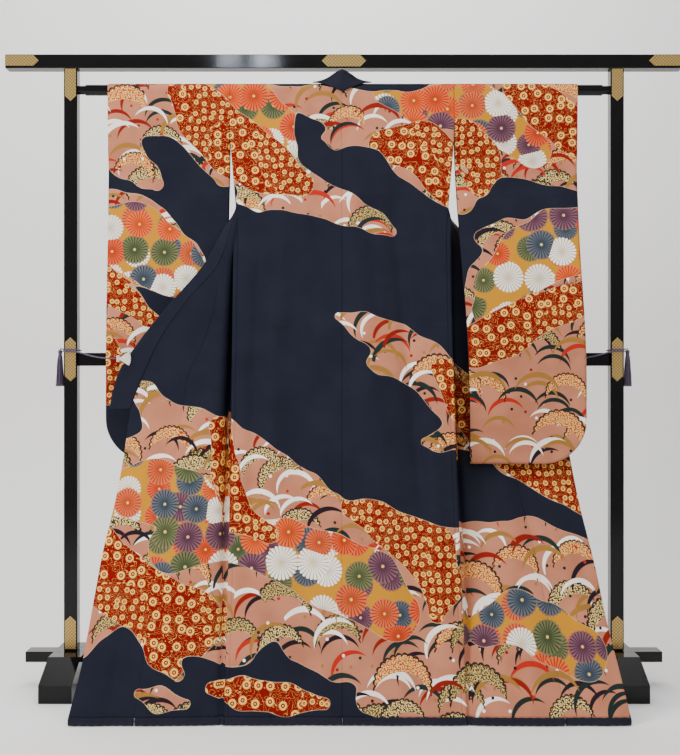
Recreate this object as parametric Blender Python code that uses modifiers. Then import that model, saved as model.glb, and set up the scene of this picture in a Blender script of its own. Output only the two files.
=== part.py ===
"""Uchikake wedding kimono spread over a lacquered kimono stand.

The garment hangs with its back to the front of the scene (-Y), the pole of the
stand running through both sleeves. +X is to the right, +Z is up, all sizes are
in metres, and the stand's feet and the padded hem rest on z = 0.
"""
import math

import bpy
import bmesh
from mathutils import Vector

# ---------------------------------------------------------------- driving sizes
POST_Y = 0.1093             # plane of the posts; "ahead" below is measured from it to -Y
SEAM_GAP = 0.0003           # clearance at every seam and joint
WALL = 0.0016               # silk with its lining

# stand
BEAM_HALF_LENGTH = 0.960
BEAM_DEPTH = 0.045
BEAM_HEIGHT = 0.039
BEAM_BOTTOM = 1.7514
POST_X = 0.775
POST_SIDE = 0.038
POLE_RADIUS = 0.0155
POLE_Z = 1.6935
POLE_HALF_LENGTH = 0.735
TENON_RADIUS = 0.0125
TENON_DEPTH = 0.012
RAIL_BOTTOM = 0.908
RAIL_HEIGHT = 0.037
RAIL_DEPTH = 0.022
SILL_HALF_LENGTH = 0.900
SILL_BOTTOM = 0.0705
SILL_HEIGHT = 0.0295
SILL_DEPTH = 0.061
FOOT_HALF_WIDTH = 0.045
FOOT_HALF_LENGTH = 0.210
FOOT_FLAT_HALF = 0.095
FOOT_END_HEIGHT = 0.0485
PLATE_THICKNESS = 0.0012

# garment
BODY_X = -0.005             # centre back seam
SHOULDER_HALF = 0.3178      # centre seam to sleeve seam
HIP_HALF = 0.2945           # centre seam to side seam
HEM_REACH = 0.404           # how far the hem is drawn forward of the pole
HANG_POWER = 1.9
ARMHOLE_Z = 1.560           # foot of the sleeve seam
SIDE_SEAM_Z = 1.310         # head of the side seam
NECK_HALF = 0.086
COLLAR_END_Z = 0.790
COLLAR_WALL = 0.0030
COLLAR_LIFT = 0.0052        # neck collar clear of the body cloth it is sewn over
ROLL_RADIUS = 0.0107        # padded hem roll
HEM_Z = 2 * ROLL_RADIUS + SEAM_GAP + WALL / 2
CLOTH_RADIUS = POLE_RADIUS + 0.0012 + WALL / 2   # the faceted bend clears the round pole

CLOTH_NAVY = (0.022, 0.033, 0.066)
LACQUER_BLACK = (0.006, 0.006, 0.007)
BRASS_GOLD = (0.62, 0.44, 0.17)
CORD_PURPLE = (0.10, 0.06, 0.14)
CLIP_WHITE = (0.80, 0.78, 0.72)

for old in list(bpy.data.objects):
    bpy.data.objects.remove(old, do_unlink=True)

model = bpy.data.collections.new("uchikake_on_stand")
bpy.context.scene.collection.children.link(model)
cutters = bpy.data.collections.new("cutters")
bpy.context.scene.collection.children.link(cutters)


# ---------------------------------------------------------------- shared makers
def finish(name, colour, roughness, metallic=0.0):
    """One Principled material."""
    material = bpy.data.materials.new(name)
    material.use_nodes = True
    shader = material.node_tree.nodes["Principled BSDF"]
    shader.inputs["Base Color"].default_value = (*colour, 1.0)
    shader.inputs["Roughness"].default_value = roughness
    shader.inputs["Metallic"].default_value = metallic
    return material


LACQUER = finish("black_lacquer", LACQUER_BLACK, 0.22)
BRASS = finish("brass_fitting", BRASS_GOLD, 0.35, 1.0)
SILK = finish("navy_silk", CLOTH_NAVY, 0.75)
CORD = finish("purple_cord", CORD_PURPLE, 0.70)
SHELL_WHITE = finish("white_clip", CLIP_WHITE, 0.40)


def add_object(name, data, material, collection=model):
    """Link a mesh or curve as a named object with one material."""
    piece = bpy.data.objects.new(name, data)
    collection.objects.link(piece)
    if material is not None:
        data.materials.append(material)
    if collection is cutters:
        piece.hide_render = True
        piece.display_type = "WIRE"
    return piece


def make_box(name, size, centre, material, bevel=0.0, collection=model):
    """A cuboid from the cube primitive, its edges eased by a small bevel."""
    mesh = bpy.data.meshes.new(name)
    cube = bmesh.new()
    bmesh.ops.create_cube(cube, size=1.0)
    bmesh.ops.scale(cube, vec=Vector(size), verts=cube.verts)
    cube.to_mesh(mesh)
    cube.free()
    piece = add_object(name, mesh, material, collection)
    piece.location = centre
    if bevel:
        ease = piece.modifiers.new("eased_edges", "BEVEL")
        ease.width = bevel
        ease.segments = 1
    return piece


def make_rod(name, radius, length, centre, axis, material, sides=24, collection=model):
    """A cylinder from the cone primitive, along the given axis."""
    mesh = bpy.data.meshes.new(name)
    rod = bmesh.new()
    bmesh.ops.create_cone(rod, cap_ends=True, segments=sides, radius1=radius, radius2=radius, depth=length)
    rod.to_mesh(mesh)
    rod.free()
    piece = add_object(name, mesh, material, collection)
    piece.rotation_euler = Vector((0, 0, 1)).rotation_difference(Vector(axis)).to_euler()
    piece.location = centre
    return piece


def cut(piece, cutter, operation="DIFFERENCE"):
    """One Boolean with the exact solver."""
    boolean = piece.modifiers.new(operation.lower(), "BOOLEAN")
    boolean.operation = operation
    boolean.object = cutter


def make_plate(name, outline, thickness, centre, material, facing=-1):
    """A flat outline in X and Z, filled and extruded along Y, then made a mesh."""
    curve = bpy.data.curves.new(name, "CURVE")
    curve.dimensions = "2D"
    curve.fill_mode = "BOTH"
    curve.extrude = thickness / 2
    spline = curve.splines.new("POLY")
    spline.points.add(len(outline) - 1)
    for point, (across, up) in zip(spline.points, outline):
        point.co = (across, up, 0.0, 1.0)
    spline.use_cyclic_u = True
    flat = add_object(name + "_outline", curve, None)
    flat.rotation_euler = (math.pi / 2, 0, 0)
    flat.location = Vector(centre) + Vector((0, facing * thickness / 2, 0))
    return curve_to_mesh(flat, name, material)


def curve_to_mesh(source, name, material):
    """Turn a curve object into a mesh object with its caps welded."""
    bpy.context.view_layer.update()
    evaluated = source.evaluated_get(bpy.context.evaluated_depsgraph_get())
    mesh = bpy.data.meshes.new_from_object(evaluated)
    weld = bmesh.new()
    weld.from_mesh(mesh)
    bmesh.ops.remove_doubles(weld, verts=weld.verts, dist=0.00002)
    bmesh.ops.recalc_face_normals(weld, faces=weld.faces)
    weld.to_mesh(mesh)
    weld.free()
    mesh.name = name
    mesh.materials.clear()
    piece = add_object(name, mesh, material)
    piece.matrix_world = source.matrix_world.copy()
    bpy.data.objects.remove(source, do_unlink=True)
    return piece


def make_tube(name, points, radius, material, resolution=2):
    """A round tube along a poly spline with closed ends."""
    curve = bpy.data.curves.new(name, "CURVE")
    curve.dimensions = "3D"
    curve.bevel_depth = radius
    curve.bevel_resolution = resolution
    curve.use_fill_caps = True
    spline = curve.splines.new("POLY")
    spline.points.add(len(points) - 1)
    for point, place in zip(spline.points, points):
        point.co = (*place, 1.0)
    return add_object(name, curve, material)


def place(x, ahead, z):
    """World point from an X, a distance ahead of the posts and a height."""
    return Vector((x, POST_Y - ahead, z))


# ---------------------------------------------------------------- kimono stand
def pointed(half_width, low, high, tip_low=0.0, tip_high=0.0):
    """Upright plate outline with an optional point at either end."""
    outline = [(-half_width, low + tip_low)]
    if tip_low:
        outline.append((0.0, low))
    outline += [(half_width, low + tip_low), (half_width, high - tip_high)]
    if tip_high:
        outline.append((0.0, high))
    outline.append((-half_width, high - tip_high))
    return outline


def lying(outline):
    """The same outline turned to run along the beam."""
    return [(up, -across) for across, up in outline]


def make_post(side, name):
    """A square post with a blind socket for the pole's tenon."""
    bottom = SILL_BOTTOM + SILL_HEIGHT + SEAM_GAP
    top = BEAM_BOTTOM - SEAM_GAP
    centre = place(side * POST_X, 0.0, (bottom + top) / 2)
    post = make_box(name, (POST_SIDE, POST_SIDE, top - bottom), centre, LACQUER, bevel=0.0015)
    socket_x = side * (POST_X - POST_SIDE / 2)
    socket = make_rod(name + "_socket", TENON_RADIUS + SEAM_GAP, 2 * TENON_DEPTH,
                      place(socket_x, 0.0, POLE_Z), (1, 0, 0), None, 16, cutters)
    cut(post, socket)
    return post


def make_pole():
    """The round hanging pole with a thinner tenon at each end."""
    tenon_end = POST_X - POST_SIDE / 2 + TENON_DEPTH - SEAM_GAP
    profile = [(TENON_RADIUS, tenon_end), (POLE_RADIUS, POLE_HALF_LENGTH)]
    outline = [(0.0, tenon_end), profile[0], (TENON_RADIUS, POLE_HALF_LENGTH), profile[1]]
    outline += [(radius, -along) for radius, along in reversed(outline)]
    mesh = bpy.data.meshes.new("hanging_pole")
    mesh.from_pydata([(radius, 0.0, along) for radius, along in outline],
                     [(i, i + 1) for i in range(len(outline) - 1)], [])
    pole = add_object("hanging_pole", mesh, LACQUER)
    turn = pole.modifiers.new("turn", "SCREW")
    turn.steps = turn.render_steps = 20
    turn.use_merge_vertices = True
    turn.merge_threshold = 0.0001
    turn.use_smooth_shade = True
    pole.rotation_euler = (0, math.pi / 2, 0)
    pole.location = place(0.0, 0.0, POLE_Z)


def make_foot(side, name):
    """A sled foot: level over the middle, sloping to both ends, notched for the sill."""
    middle = SILL_BOTTOM + SILL_HEIGHT
    outline = [(-FOOT_HALF_LENGTH, 0.0), (FOOT_HALF_LENGTH, 0.0), (FOOT_HALF_LENGTH, FOOT_END_HEIGHT),
               (FOOT_FLAT_HALF, middle), (-FOOT_FLAT_HALF, middle), (-FOOT_HALF_LENGTH, FOOT_END_HEIGHT)]
    foot = make_plate(name, outline, 2 * FOOT_HALF_WIDTH, Vector((0, FOOT_HALF_WIDTH, 0)), LACQUER)
    foot.rotation_euler.z = math.pi / 2
    foot.location = place(side * POST_X, 0.0, 0.0)
    notch = make_box(name + "_notch", (0.2, SILL_DEPTH + 2 * SEAM_GAP, 0.1),
                     place(side * POST_X, 0.0, SILL_BOTTOM - SEAM_GAP + 0.05), None, 0.0, cutters)
    cut(foot, notch)


PLATE_ROWS = [  # name, half width, low, high, pointed below, pointed above
    ("top", 0.0155, 1.6590, BEAM_BOTTOM - 0.001, 0.014, 0.0),
    ("middle", 0.0150, 0.8640, 0.9890, 0.014, 0.014),
    ("bottom", 0.0155, 0.1055, 0.1990, 0.0, 0.014),
]


def make_stand():
    """Beam, posts, pole, rails, feet and their brass plates."""
    beam_z = BEAM_BOTTOM + BEAM_HEIGHT / 2
    make_box("top_beam", (2 * BEAM_HALF_LENGTH, BEAM_DEPTH, BEAM_HEIGHT), place(0, 0, beam_z), LACQUER, 0.0015)
    make_pole()
    inner = POST_X - POST_SIDE / 2 - SEAM_GAP
    make_box("middle_rail", (2 * inner, RAIL_DEPTH, RAIL_HEIGHT),
             place(0, 0, RAIL_BOTTOM + RAIL_HEIGHT / 2), LACQUER, 0.0015)
    make_box("sill_rail", (2 * SILL_HALF_LENGTH, SILL_DEPTH, SILL_HEIGHT),
             place(0, 0, SILL_BOTTOM + SILL_HEIGHT / 2), LACQUER, 0.0012)
    for side, hand in ((-1, "left"), (1, "right")):
        make_post(side, "post_" + hand)
        make_foot(side, "foot_" + hand)
        for level, half, low, high, tip_low, tip_high in PLATE_ROWS:
            for facing, face in ((-1, "front"), (1, "rear")):
                out = facing * (POST_SIDE / 2 + SEAM_GAP)
                make_plate(f"post_plate_{hand}_{level}_{face}", pointed(half, low, high, tip_low, tip_high),
                           PLATE_THICKNESS, place(side * POST_X, -out, 0.0), BRASS, facing)
    for facing, face in ((-1, "front"), (1, "rear")):
        out = facing * (BEAM_DEPTH / 2 + SEAM_GAP)
        make_plate("beam_plate_centre_" + face, lying(pointed(0.016, -0.063, 0.063, 0.016, 0.016)),
                   PLATE_THICKNESS, place(0.0, -out, beam_z + 0.001), BRASS, facing)
    for side, hand in ((-1, "left"), (1, "right")):
        tip = lying(pointed(0.0150, 0.864, 0.958, 0.016, 0.0))
        outline = [(side * across, up) for across, up in tip]
        for facing, face in ((-1, "front"), (1, "rear")):
            out = facing * (BEAM_DEPTH / 2 + SEAM_GAP)
            make_plate(f"beam_plate_{hand}_{face}", outline, PLATE_THICKNESS,
                       place(0.0, -out, beam_z + 0.002), BRASS, facing)


# ---------------------------------------------------------------- how the cloth hangs
def lerp(a, b, t):
    """Straight blend of two values or vectors."""
    return a + (b - a) * t


def ease(low, high, value):
    """Smooth step from 0 at low to 1 at high."""
    t = max(0.0, min(1.0, (value - low) / (high - low)))
    return t * t * (3 - 2 * t)


def along(rows, column, z):
    """Smooth curve through one column of a table whose first column is a falling height."""
    heights = [row[0] for row in rows]
    values = [row[column] for row in rows]
    if z >= heights[0]:
        return values[0]
    if z <= heights[-1]:
        return values[-1]
    i = next(k for k in range(len(rows) - 1) if heights[k + 1] <= z)
    slopes = [(values[k + 1] - values[k]) / (heights[k + 1] - heights[k]) for k in range(len(rows) - 1)]

    def tangent(k):
        if k == 0 or k == len(rows) - 1:
            return slopes[min(k, len(slopes) - 1)]
        before, after = slopes[k - 1], slopes[k]
        return 0.0 if before * after <= 0 else 2 * before * after / (before + after)

    span = heights[i + 1] - heights[i]
    t = (z - heights[i]) / span
    return ((2 * t ** 3 - 3 * t ** 2 + 1) * values[i] + (t ** 3 - 2 * t ** 2 + t) * span * tangent(i)
            + (3 * t ** 2 - 2 * t ** 3) * values[i + 1] + (t ** 3 - t ** 2) * span * tangent(i + 1))


BACK_FOLDS = [  # top z, bottom z, x at top, x at bottom, half width, height (minus is a valley)
    (1.62, 0.55, -0.155, -0.215, 0.035, 0.007),
    (1.30, 0.35, -0.235, -0.255, 0.022, -0.007),
    (1.66, 0.75, 0.025, 0.055, 0.040, 0.006),
    (1.45, 0.50, 0.135, 0.210, 0.022, -0.007),
    (1.10, 0.03, 0.075, 0.115, 0.045, 0.006),
    (0.75, 0.03, -0.120, -0.105, 0.040, -0.006),
    (0.90, 0.03, 0.235, 0.250, 0.030, 0.006),
]


def fold_height(folds, x, z):
    """Sum of the soft ridges and valleys at one spot."""
    total = 0.0
    for top, bottom, x_top, x_bottom, half_width, height in folds:
        run = (top - z) / (top - bottom)
        if -0.1 < run < 1.1:
            centre = lerp(x_top, x_bottom, run)
            total += height * ease(-0.1, 0.25, run) * (1 - ease(0.8, 1.1, run)) * math.exp(
                -((x - centre) / half_width) ** 2)
    return total


def hang(z):
    """How far ahead of the posts the back of the garment hangs at a height."""
    return CLOTH_RADIUS + HEM_REACH * max(0.0, 1 - z / POLE_Z) ** HANG_POWER


def side_x(side, z):
    """The back panel's outer edge: sleeve seam above, side seam below."""
    half = lerp(HIP_HALF, SHOULDER_HALF, ease(1.25, 1.60, z))
    return BODY_X + side * half + 0.008 * ease(1.2, 0.0, z)


def back_point(x, z):
    """A point of the back panels."""
    fade = 1 - ease(1.60, 1.69, z)
    return place(x, hang(z) + fade * fold_height(BACK_FOLDS, x - 0.008 * ease(1.2, 0.0, z), z), z)


def grid_cloth(name, columns, rows, drape, wall, weld=False):
    """A grid primitive moved into its drape, then given its wall thickness."""
    mesh = bpy.data.meshes.new(name)
    cloth = bmesh.new()
    bmesh.ops.create_grid(cloth, x_segments=len(columns) - 1, y_segments=len(rows) - 1, size=1.0)
    for vert in cloth.verts:
        i = round((vert.co.x + 1) / 2 * (len(columns) - 1))
        j = round((vert.co.y + 1) / 2 * (len(rows) - 1))
        vert.co = drape(columns[i], rows[j])
    if weld:
        bmesh.ops.remove_doubles(cloth, verts=cloth.verts, dist=0.00005)
    bmesh.ops.recalc_face_normals(cloth, faces=cloth.faces)
    cloth.to_mesh(mesh)
    cloth.free()
    mesh.shade_smooth()
    piece = add_object(name, mesh, SILK)
    body = piece.modifiers.new("wall", "SOLIDIFY")
    body.thickness = wall
    body.offset = 0.0
    body.use_even_offset = True
    return piece


def spread(low, high, count):
    """Evenly spaced values, ends included."""
    return [lerp(low, high, k / count) for k in range(count + 1)]


OVER_POLE = [0.30, 0.62, 1.0]            # parts of the quarter turn over the pole
BODY_ROWS = [HEM_Z, 0.045, 0.09] + spread(0.15, 1.60, 20) + [1.65, POLE_Z]


def make_back(side, hand):
    """One width of the back, from the padded hem to the top of the pole."""
    def drape(u, v):
        if v <= POLE_Z:
            edge = side_x(side, v) - side * SEAM_GAP / 2
            return back_point(lerp(BODY_X + side * SEAM_GAP / 2, edge, u), v)
        turn = v - POLE_Z
        angle = turn * math.pi / 2 * 0.985
        neck = BODY_X + side * NECK_HALF * math.sin(angle) ** 0.8
        across = lerp(neck, side_x(side, POLE_Z) - side * SEAM_GAP / 2, u)
        return place(across, CLOTH_RADIUS * math.cos(angle), POLE_Z + CLOTH_RADIUS * math.sin(angle))

    rows = BODY_ROWS + [POLE_Z + turn for turn in OVER_POLE]
    return grid_cloth("back_" + hand, spread(0.0, 1.0, 9), rows, drape, WALL)


# Where the opened fronts lie, row by row from the shoulder down. Each pair is (x, ahead):
# the seam between body width and overlap, the edge the collar is sewn to, the collar's
# free rim. mouth is where the fold beside the side seam opens, pleat is how deep it goes.
LEFT_FRONT = [  # z, okumi x, ahead, edge x, ahead, rim x, ahead, mouth, pleat
    (1.694, -0.092, -0.0182, -0.090, -0.0182, -0.047, -0.020, -0.230, 0.000),
    (1.550, -0.162, -0.064, -0.160, -0.066, -0.118, -0.082, -0.290, 0.020),
    (1.450, -0.251, -0.070, -0.250, -0.073, -0.224, -0.100, -0.296, 0.010),
    (1.385, -0.2985, -0.018, -0.299, -0.022, -0.302, -0.050, -0.298, 0.000),
    (1.340, -0.308, 0.026, -0.310, 0.025, -0.319, 0.020, -0.304, 0.000),
    (1.300, -0.311, 0.047, -0.316, 0.047, -0.334, 0.046, -0.304, 0.000),
    (1.200, -0.340, 0.064, -0.345, 0.064, -0.386, 0.064, -0.318, 0.018),
    (1.090, -0.352, 0.078, -0.434, 0.078, -0.476, 0.077, -0.324, 0.040),
    (0.980, -0.378, 0.092, -0.508, 0.089, -0.566, 0.086, -0.328, 0.050),
    (0.870, -0.4235, 0.104, -0.557, 0.098, -0.632, 0.093, -0.332, 0.052),
    (0.790, -0.436, 0.122, -0.585, 0.112, -0.648, 0.103, -0.336, 0.050),
    (0.650, -0.455, 0.166, -0.602, 0.140, -0.661, 0.130, -0.338, 0.042),
    (0.540, -0.468, 0.207, -0.618, 0.172, -0.678, 0.16, -0.338, 0.036),
    (0.390, -0.485, 0.264, -0.646, 0.228, -0.70, 0.21, -0.336, 0.028),
    (0.300, -0.494, 0.302, -0.655, 0.272, -0.71, 0.26, -0.334, 0.023),
    (0.140, -0.512, 0.370, -0.671, 0.358, -0.73, 0.35, -0.330, 0.015),
    (0.020, -0.526, 0.417, -0.693, 0.418, -0.75, 0.42, -0.326, 0.010),
]
RIGHT_FRONT = [
    (1.694, 0.082, -0.0182, 0.080, -0.0182, 0.037, -0.020, 0.220, 0.000),
    (1.550, 0.152, -0.064, 0.150, -0.066, 0.108, -0.082, 0.280, 0.020),
    (1.450, 0.242, -0.070, 0.240, -0.073, 0.215, -0.100, 0.290, 0.010),
    (1.385, 0.290, -0.060, 0.290, -0.065, 0.292, -0.096, 0.290, 0.000),
    (1.340, 0.304, -0.056, 0.306, -0.060, 0.311, -0.084, 0.296, 0.002),
    (1.300, 0.317, -0.052, 0.321, -0.054, 0.343, -0.070, 0.300, 0.010),
    (1.200, 0.368, -0.036, 0.376, -0.037, 0.420, -0.042, 0.305, 0.022),
    (1.090, 0.378, -0.004, 0.448, -0.006, 0.496, -0.008, 0.308, 0.026),
    (0.980, 0.390, 0.024, 0.513, 0.021, 0.568, 0.020, 0.312, 0.012),
    (0.870, 0.425, 0.031, 0.562, 0.026, 0.632, 0.024, 0.318, 0.014),
    (0.790, 0.440, 0.036, 0.588, 0.029, 0.650, 0.027, 0.324, 0.018),
    (0.675, 0.460, 0.050, 0.611, 0.040, 0.67, 0.034, 0.330, 0.022),
    (0.540, 0.485, 0.120, 0.647, 0.104, 0.70, 0.09, 0.334, 0.022),
    (0.350, 0.520, 0.228, 0.677, 0.202, 0.73, 0.19, 0.336, 0.018),
    (0.240, 0.532, 0.293, 0.689, 0.268, 0.74, 0.25, 0.335, 0.014),
    (0.140, 0.542, 0.352, 0.703, 0.336, 0.75, 0.33, 0.333, 0.011),
    (0.020, 0.553, 0.417, 0.720, 0.414, 0.77, 0.41, 0.330, 0.008),
]
FRONT_FOLDS = [  # top z, bottom z, share of the way out at top, at bottom, half width, height
    (1.00, 0.02, 0.42, 0.50, 0.10, 0.006),
    (0.85, 0.02, 0.66, 0.70, 0.07, -0.007),
    (0.70, 0.02, 0.84, 0.86, 0.06, 0.005),
]


def corner_cut(points, rounds=3):
    """Round off a polyline, keeping its ends."""
    for _ in range(rounds):
        rounded = [points[0]]
        for a, b in zip(points, points[1:]):
            rounded += [a.lerp(b, 0.25), a.lerp(b, 0.75)]
        points = rounded + [points[-1]]
    return points


def lengths(points):
    """Running length at each point of a polyline."""
    run = [0.0]
    for a, b in zip(points, points[1:]):
        run.append(run[-1] + (b - a).length)
    return run


def point_at(points, run, distance):
    """The point at a distance along a polyline."""
    for k in range(len(run) - 1):
        if distance <= run[k + 1] or k == len(run) - 2:
            step = run[k + 1] - run[k]
            return points[k].lerp(points[k + 1], (distance - run[k]) / step if step else 0.0)


SEAM_LAP = 0.009            # stretch that runs on level past the side seam before it folds


def section(side, z):
    """Level section of an opened front: its curve and the seams' places on it."""
    rows = LEFT_FRONT if side < 0 else RIGHT_FRONT
    okumi_x, okumi_a, edge_x, edge_a, rim_x, rim_a, mouth, pleat = [along(rows, c, z) for c in range(1, 9)]
    root_x = side_x(side, z)
    if z < SIDE_SEAM_Z:
        root_a = POST_Y - back_point(root_x, z).y
    else:
        root_a = lerp(hang(z), -CLOTH_RADIUS, ease(SIDE_SEAM_Z + 0.01, SIDE_SEAM_Z + 0.13, z))
    root = Vector((root_x, root_a, 0))
    okumi = Vector((okumi_x, okumi_a, 0))
    edge = Vector((edge_x, edge_a, 0))
    rim = Vector((rim_x, rim_a, 0))
    mouth_t = 0.0 if abs(okumi.x - root.x) < 1e-6 else (mouth - root.x) / (okumi.x - root.x)
    lip = root.lerp(okumi, max(0.05, min(0.9, mouth_t)))
    if side > 0 and z < SIDE_SEAM_Z + 0.05:
        lip.y = lerp(okumi_a, root_a, 0.15)
    free = ease(SIDE_SEAM_Z, SIDE_SEAM_Z + 0.06, z)
    tangent = (lip - root) * 0.1 * free + Vector((side * SEAM_LAP, 0, 0)) * (1 - free)
    inner = root + tangent
    floor_a = min(root_a, lip.y) - pleat
    well = [Vector((lerp(root.x, lip.x, part), floor_a, 0)) for part in (0.30, 0.62)]
    keys = [root, inner, inner + tangent * 0.3] + well + [lip, okumi, edge, rim]
    curve = corner_cut(keys)
    run = lengths(curve)
    key_run = lengths(keys)
    scale = run[-1] / key_run[-1]
    return curve, run, (key_run[6] * scale, key_run[7] * scale, run[-1])


SECTIONS = {}
SEAM_STARTS = (5 * SEAM_GAP, SEAM_GAP / 2, 3 * SEAM_GAP)   # wider where a folded wall turns
THROAT_GAP = 0.003          # the band turns sharply where it comes out beside the body


def front_point(side, z, share, start, end):
    """A point of an opened front, between two seams (0 root, 1 overlap seam, 2 edge, 3 rim)."""
    key = (side, round(z, 5))
    if key not in SECTIONS:
        SECTIONS[key] = section(side, z)
    curve, run, (okumi_at, edge_at, rim_at) = SECTIONS[key]
    marks = (0.0, okumi_at, edge_at, rim_at)
    low = marks[start] + SEAM_STARTS[start]
    if start == 2:
        low += THROAT_GAP * ease(1.22, 1.30, z) * ease(1.45, 1.37, z)
    high = marks[end] - SEAM_GAP / 2
    distance = lerp(low, max(high, low + 0.002), share)
    spot = point_at(curve, run, distance)
    reach = distance / edge_at if edge_at else 0.0
    spot.y += (1 - ease(0.7, 1.0, z)) * (1 - ease(1.0, 1.3, reach)) * fold_height(
        FRONT_FOLDS, reach, z)
    return place(spot.x, spot.y, z)


def over_rear(side, turn, share, start, end):
    """The same point carried up the back of the pole; turn runs from 0 to 1 at the top."""
    low = front_point(side, POLE_Z, share, start, end)
    angle = turn * math.pi / 2 * 0.985
    return Vector((low.x, POST_Y + CLOTH_RADIUS * math.cos(angle), POLE_Z + CLOTH_RADIUS * math.sin(angle)))


FRONT_ROWS = ([HEM_Z, 0.045, 0.09] + spread(0.15, COLLAR_END_Z, 8) + spread(COLLAR_END_Z, 1.20, 5)[1:]
              + [1.25, 1.30, 1.34, 1.385, 1.42, 1.45, 1.50, 1.56, 1.62, 1.66, POLE_Z])


def make_front(side, hand):
    """One front width: over the shoulder, down behind, and swung out beside the back."""
    def drape(u, v):
        if v <= POLE_Z:
            return front_point(side, v, u, 0, 1)
        return over_rear(side, v - POLE_Z, u, 0, 1)

    rows = FRONT_ROWS + [POLE_Z + turn for turn in OVER_POLE]
    columns = [0.0, 0.014, 0.028] + spread(0.065, 1.0, 15)
    return grid_cloth("front_" + hand, columns, rows, drape, WALL)


def make_okumi(side, hand):
    """The overlap sewn to the front width, tapering to a point under the collar."""
    rows = [row for row in FRONT_ROWS if row <= 1.20]
    return grid_cloth("okumi_" + hand, spread(0.0, 1.0, 5), rows,
                      lambda u, v: front_point(side, v, u, 1, 2), WALL)


def make_front_collar(side, hand):
    """The folded collar band along a front edge, ending square."""
    rows = [row for row in FRONT_ROWS if row >= COLLAR_END_Z]

    def drape(u, v):
        return front_point(side, v, u, 2, 3)

    return grid_cloth("collar_" + hand, spread(0.0, 1.0, 3), rows, drape, COLLAR_WALL)


def make_neck_collar():
    """The collar standing up round the back of the neck, peaked in the middle."""
    def drape(u, s):
        share = abs(s)
        angle = math.pi / 2 * share ** 1.25
        radius = CLOTH_RADIUS + COLLAR_LIFT
        low = place(BODY_X + s * (NECK_HALF - 0.003), radius * math.cos(angle),
                    POLE_Z - 0.007 * (1 - share) + radius * math.sin(angle))
        peak = 1.7475 - 0.0200 * share ** 1.1
        high = place(BODY_X + 0.047 * s, lerp(0.026, -0.020, share ** 1.5), peak)
        return low.lerp(high, u)

    return grid_cloth("collar_neck", spread(0.0, 1.0, 4), spread(-1.0, 1.0, 14), drape, COLLAR_WALL)


# ---------------------------------------------------------------- sleeves
SLEEVES = {  # side: inner x above, inner x below, outer x above, outer x below, bottom z, corner, swing
    -1: (-0.3233, -0.336, -0.6700, -0.6720, 0.640, 0.120, 0.034),
    1: (0.3133, 0.349, 0.6630, 0.6730, 0.636, 0.090, 0.096),
}
CUFF_Z = 1.470
SLEEVE_GAP = 0.016
# Levels between which a sleeve changes, from none of the change to all of it.
BODY_EDGE_SPAN = (0.75, 1.62)   # its edge beside the body leans
CUFF_EDGE_SPAN = (1.25, 0.75)   # its cuff side widens
SWING_SPAN = (1.56, 0.95)       # it swings out from the pole
CLOSING_SPAN = (1.66, 1.40)     # its two walls close up below the pole
SETBACK_SPAN = (1.42, 1.57)     # it stops hanging set back
BILLOW_SPAN = (1.50, 0.90)      # it bellies
BILLOW = 0.004
SETBACK = 0.004
ROUNDING = 0.008
SLEEVE_COLUMNS = [0.0, 0.18, 0.36, 0.54, 0.70, 0.83, 0.92, 0.97, 0.990, 1.0]
SLEEVE_RISES = [0.0, 0.0024, 0.0080, 0.04, 0.10, 0.20, 0.30, 0.40, 0.50, 0.60, 0.70, 0.78, 0.83, 0.90, 0.96, 1.0]


def rounded(distance):
    """Half-round opening of the bag edge, 0 at the seam and 1 inside."""
    t = max(0.0, min(1.0, distance / ROUNDING))
    return math.sqrt(1 - (1 - t) ** 2)


def sleeve_point(side, u, rise, layer):
    """A point of a sleeve: layer is 1 on the near wall and -1 on the far wall."""
    inner_top, inner_low, outer_top, outer_low, bottom, corner, swing = SLEEVES[side]
    level = lerp(bottom, POLE_Z, rise)
    low = 1 - ease(*SETBACK_SPAN, level)
    inner = lerp(inner_low, inner_top, ease(*BODY_EDGE_SPAN, level))
    outer = lerp(outer_top, outer_low, ease(*CUFF_EDGE_SPAN, level))
    x = lerp(inner, outer, u)
    from_edge = abs(outer_low - x)
    if from_edge < corner:
        lift = corner - math.sqrt(corner ** 2 - (corner - from_edge) ** 2)
    else:
        lift = 0.0
    z = lerp(bottom + lift, POLE_Z, rise)
    open_cuff = ease(CUFF_Z, CUFF_Z + 0.06, z)
    side_round = lerp(rounded((1 - u) * abs(outer - inner)), 1.0, open_cuff)
    bottom_round = rounded(z - bottom - lift)
    half = lerp(CLOTH_RADIUS, SLEEVE_GAP / 2, ease(*CLOSING_SPAN, z)) * side_round * bottom_round
    centre = swing * ease(*SWING_SPAN, z) - SETBACK * low
    belly = BILLOW * ease(*BILLOW_SPAN, z) * side_round * bottom_round
    wave = belly * math.sin(math.pi * (1.5 * u + 0.3))
    return place(x, centre + layer * half + wave, z)


def make_sleeve(side, hand):
    """A long swinging sleeve: a flat bag over the pole, open at cuff and body side."""
    def drape(u, v):
        layer = 1 if v >= 0 else -1
        rise = abs(v)
        if rise <= 1.0:
            return sleeve_point(side, u, rise, layer)
        angle = (rise - 1.0) * math.pi / 2
        low = sleeve_point(side, u, 1.0, layer)
        return Vector((low.x, POST_Y - layer * CLOTH_RADIUS * math.cos(angle),
                       POLE_Z + CLOTH_RADIUS * math.sin(angle)))

    climb = SLEEVE_RISES + [1.0 + turn for turn in (0.30, 0.62)]
    rows = climb + [2.0] + [-rise for rise in reversed(climb)]
    rows[-1] = -1e-9
    return grid_cloth("sleeve_" + hand, SLEEVE_COLUMNS, rows, drape, WALL, weld=True)


# ---------------------------------------------------------------- padded hem
def make_hem_roll(name, path):
    """The lining carried out at the hem as a padded roll, one strip to a width."""
    return make_tube(name, [Vector((p.x, p.y, ROLL_RADIUS + 0.0001)) for p in path], ROLL_RADIUS, SILK)


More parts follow.
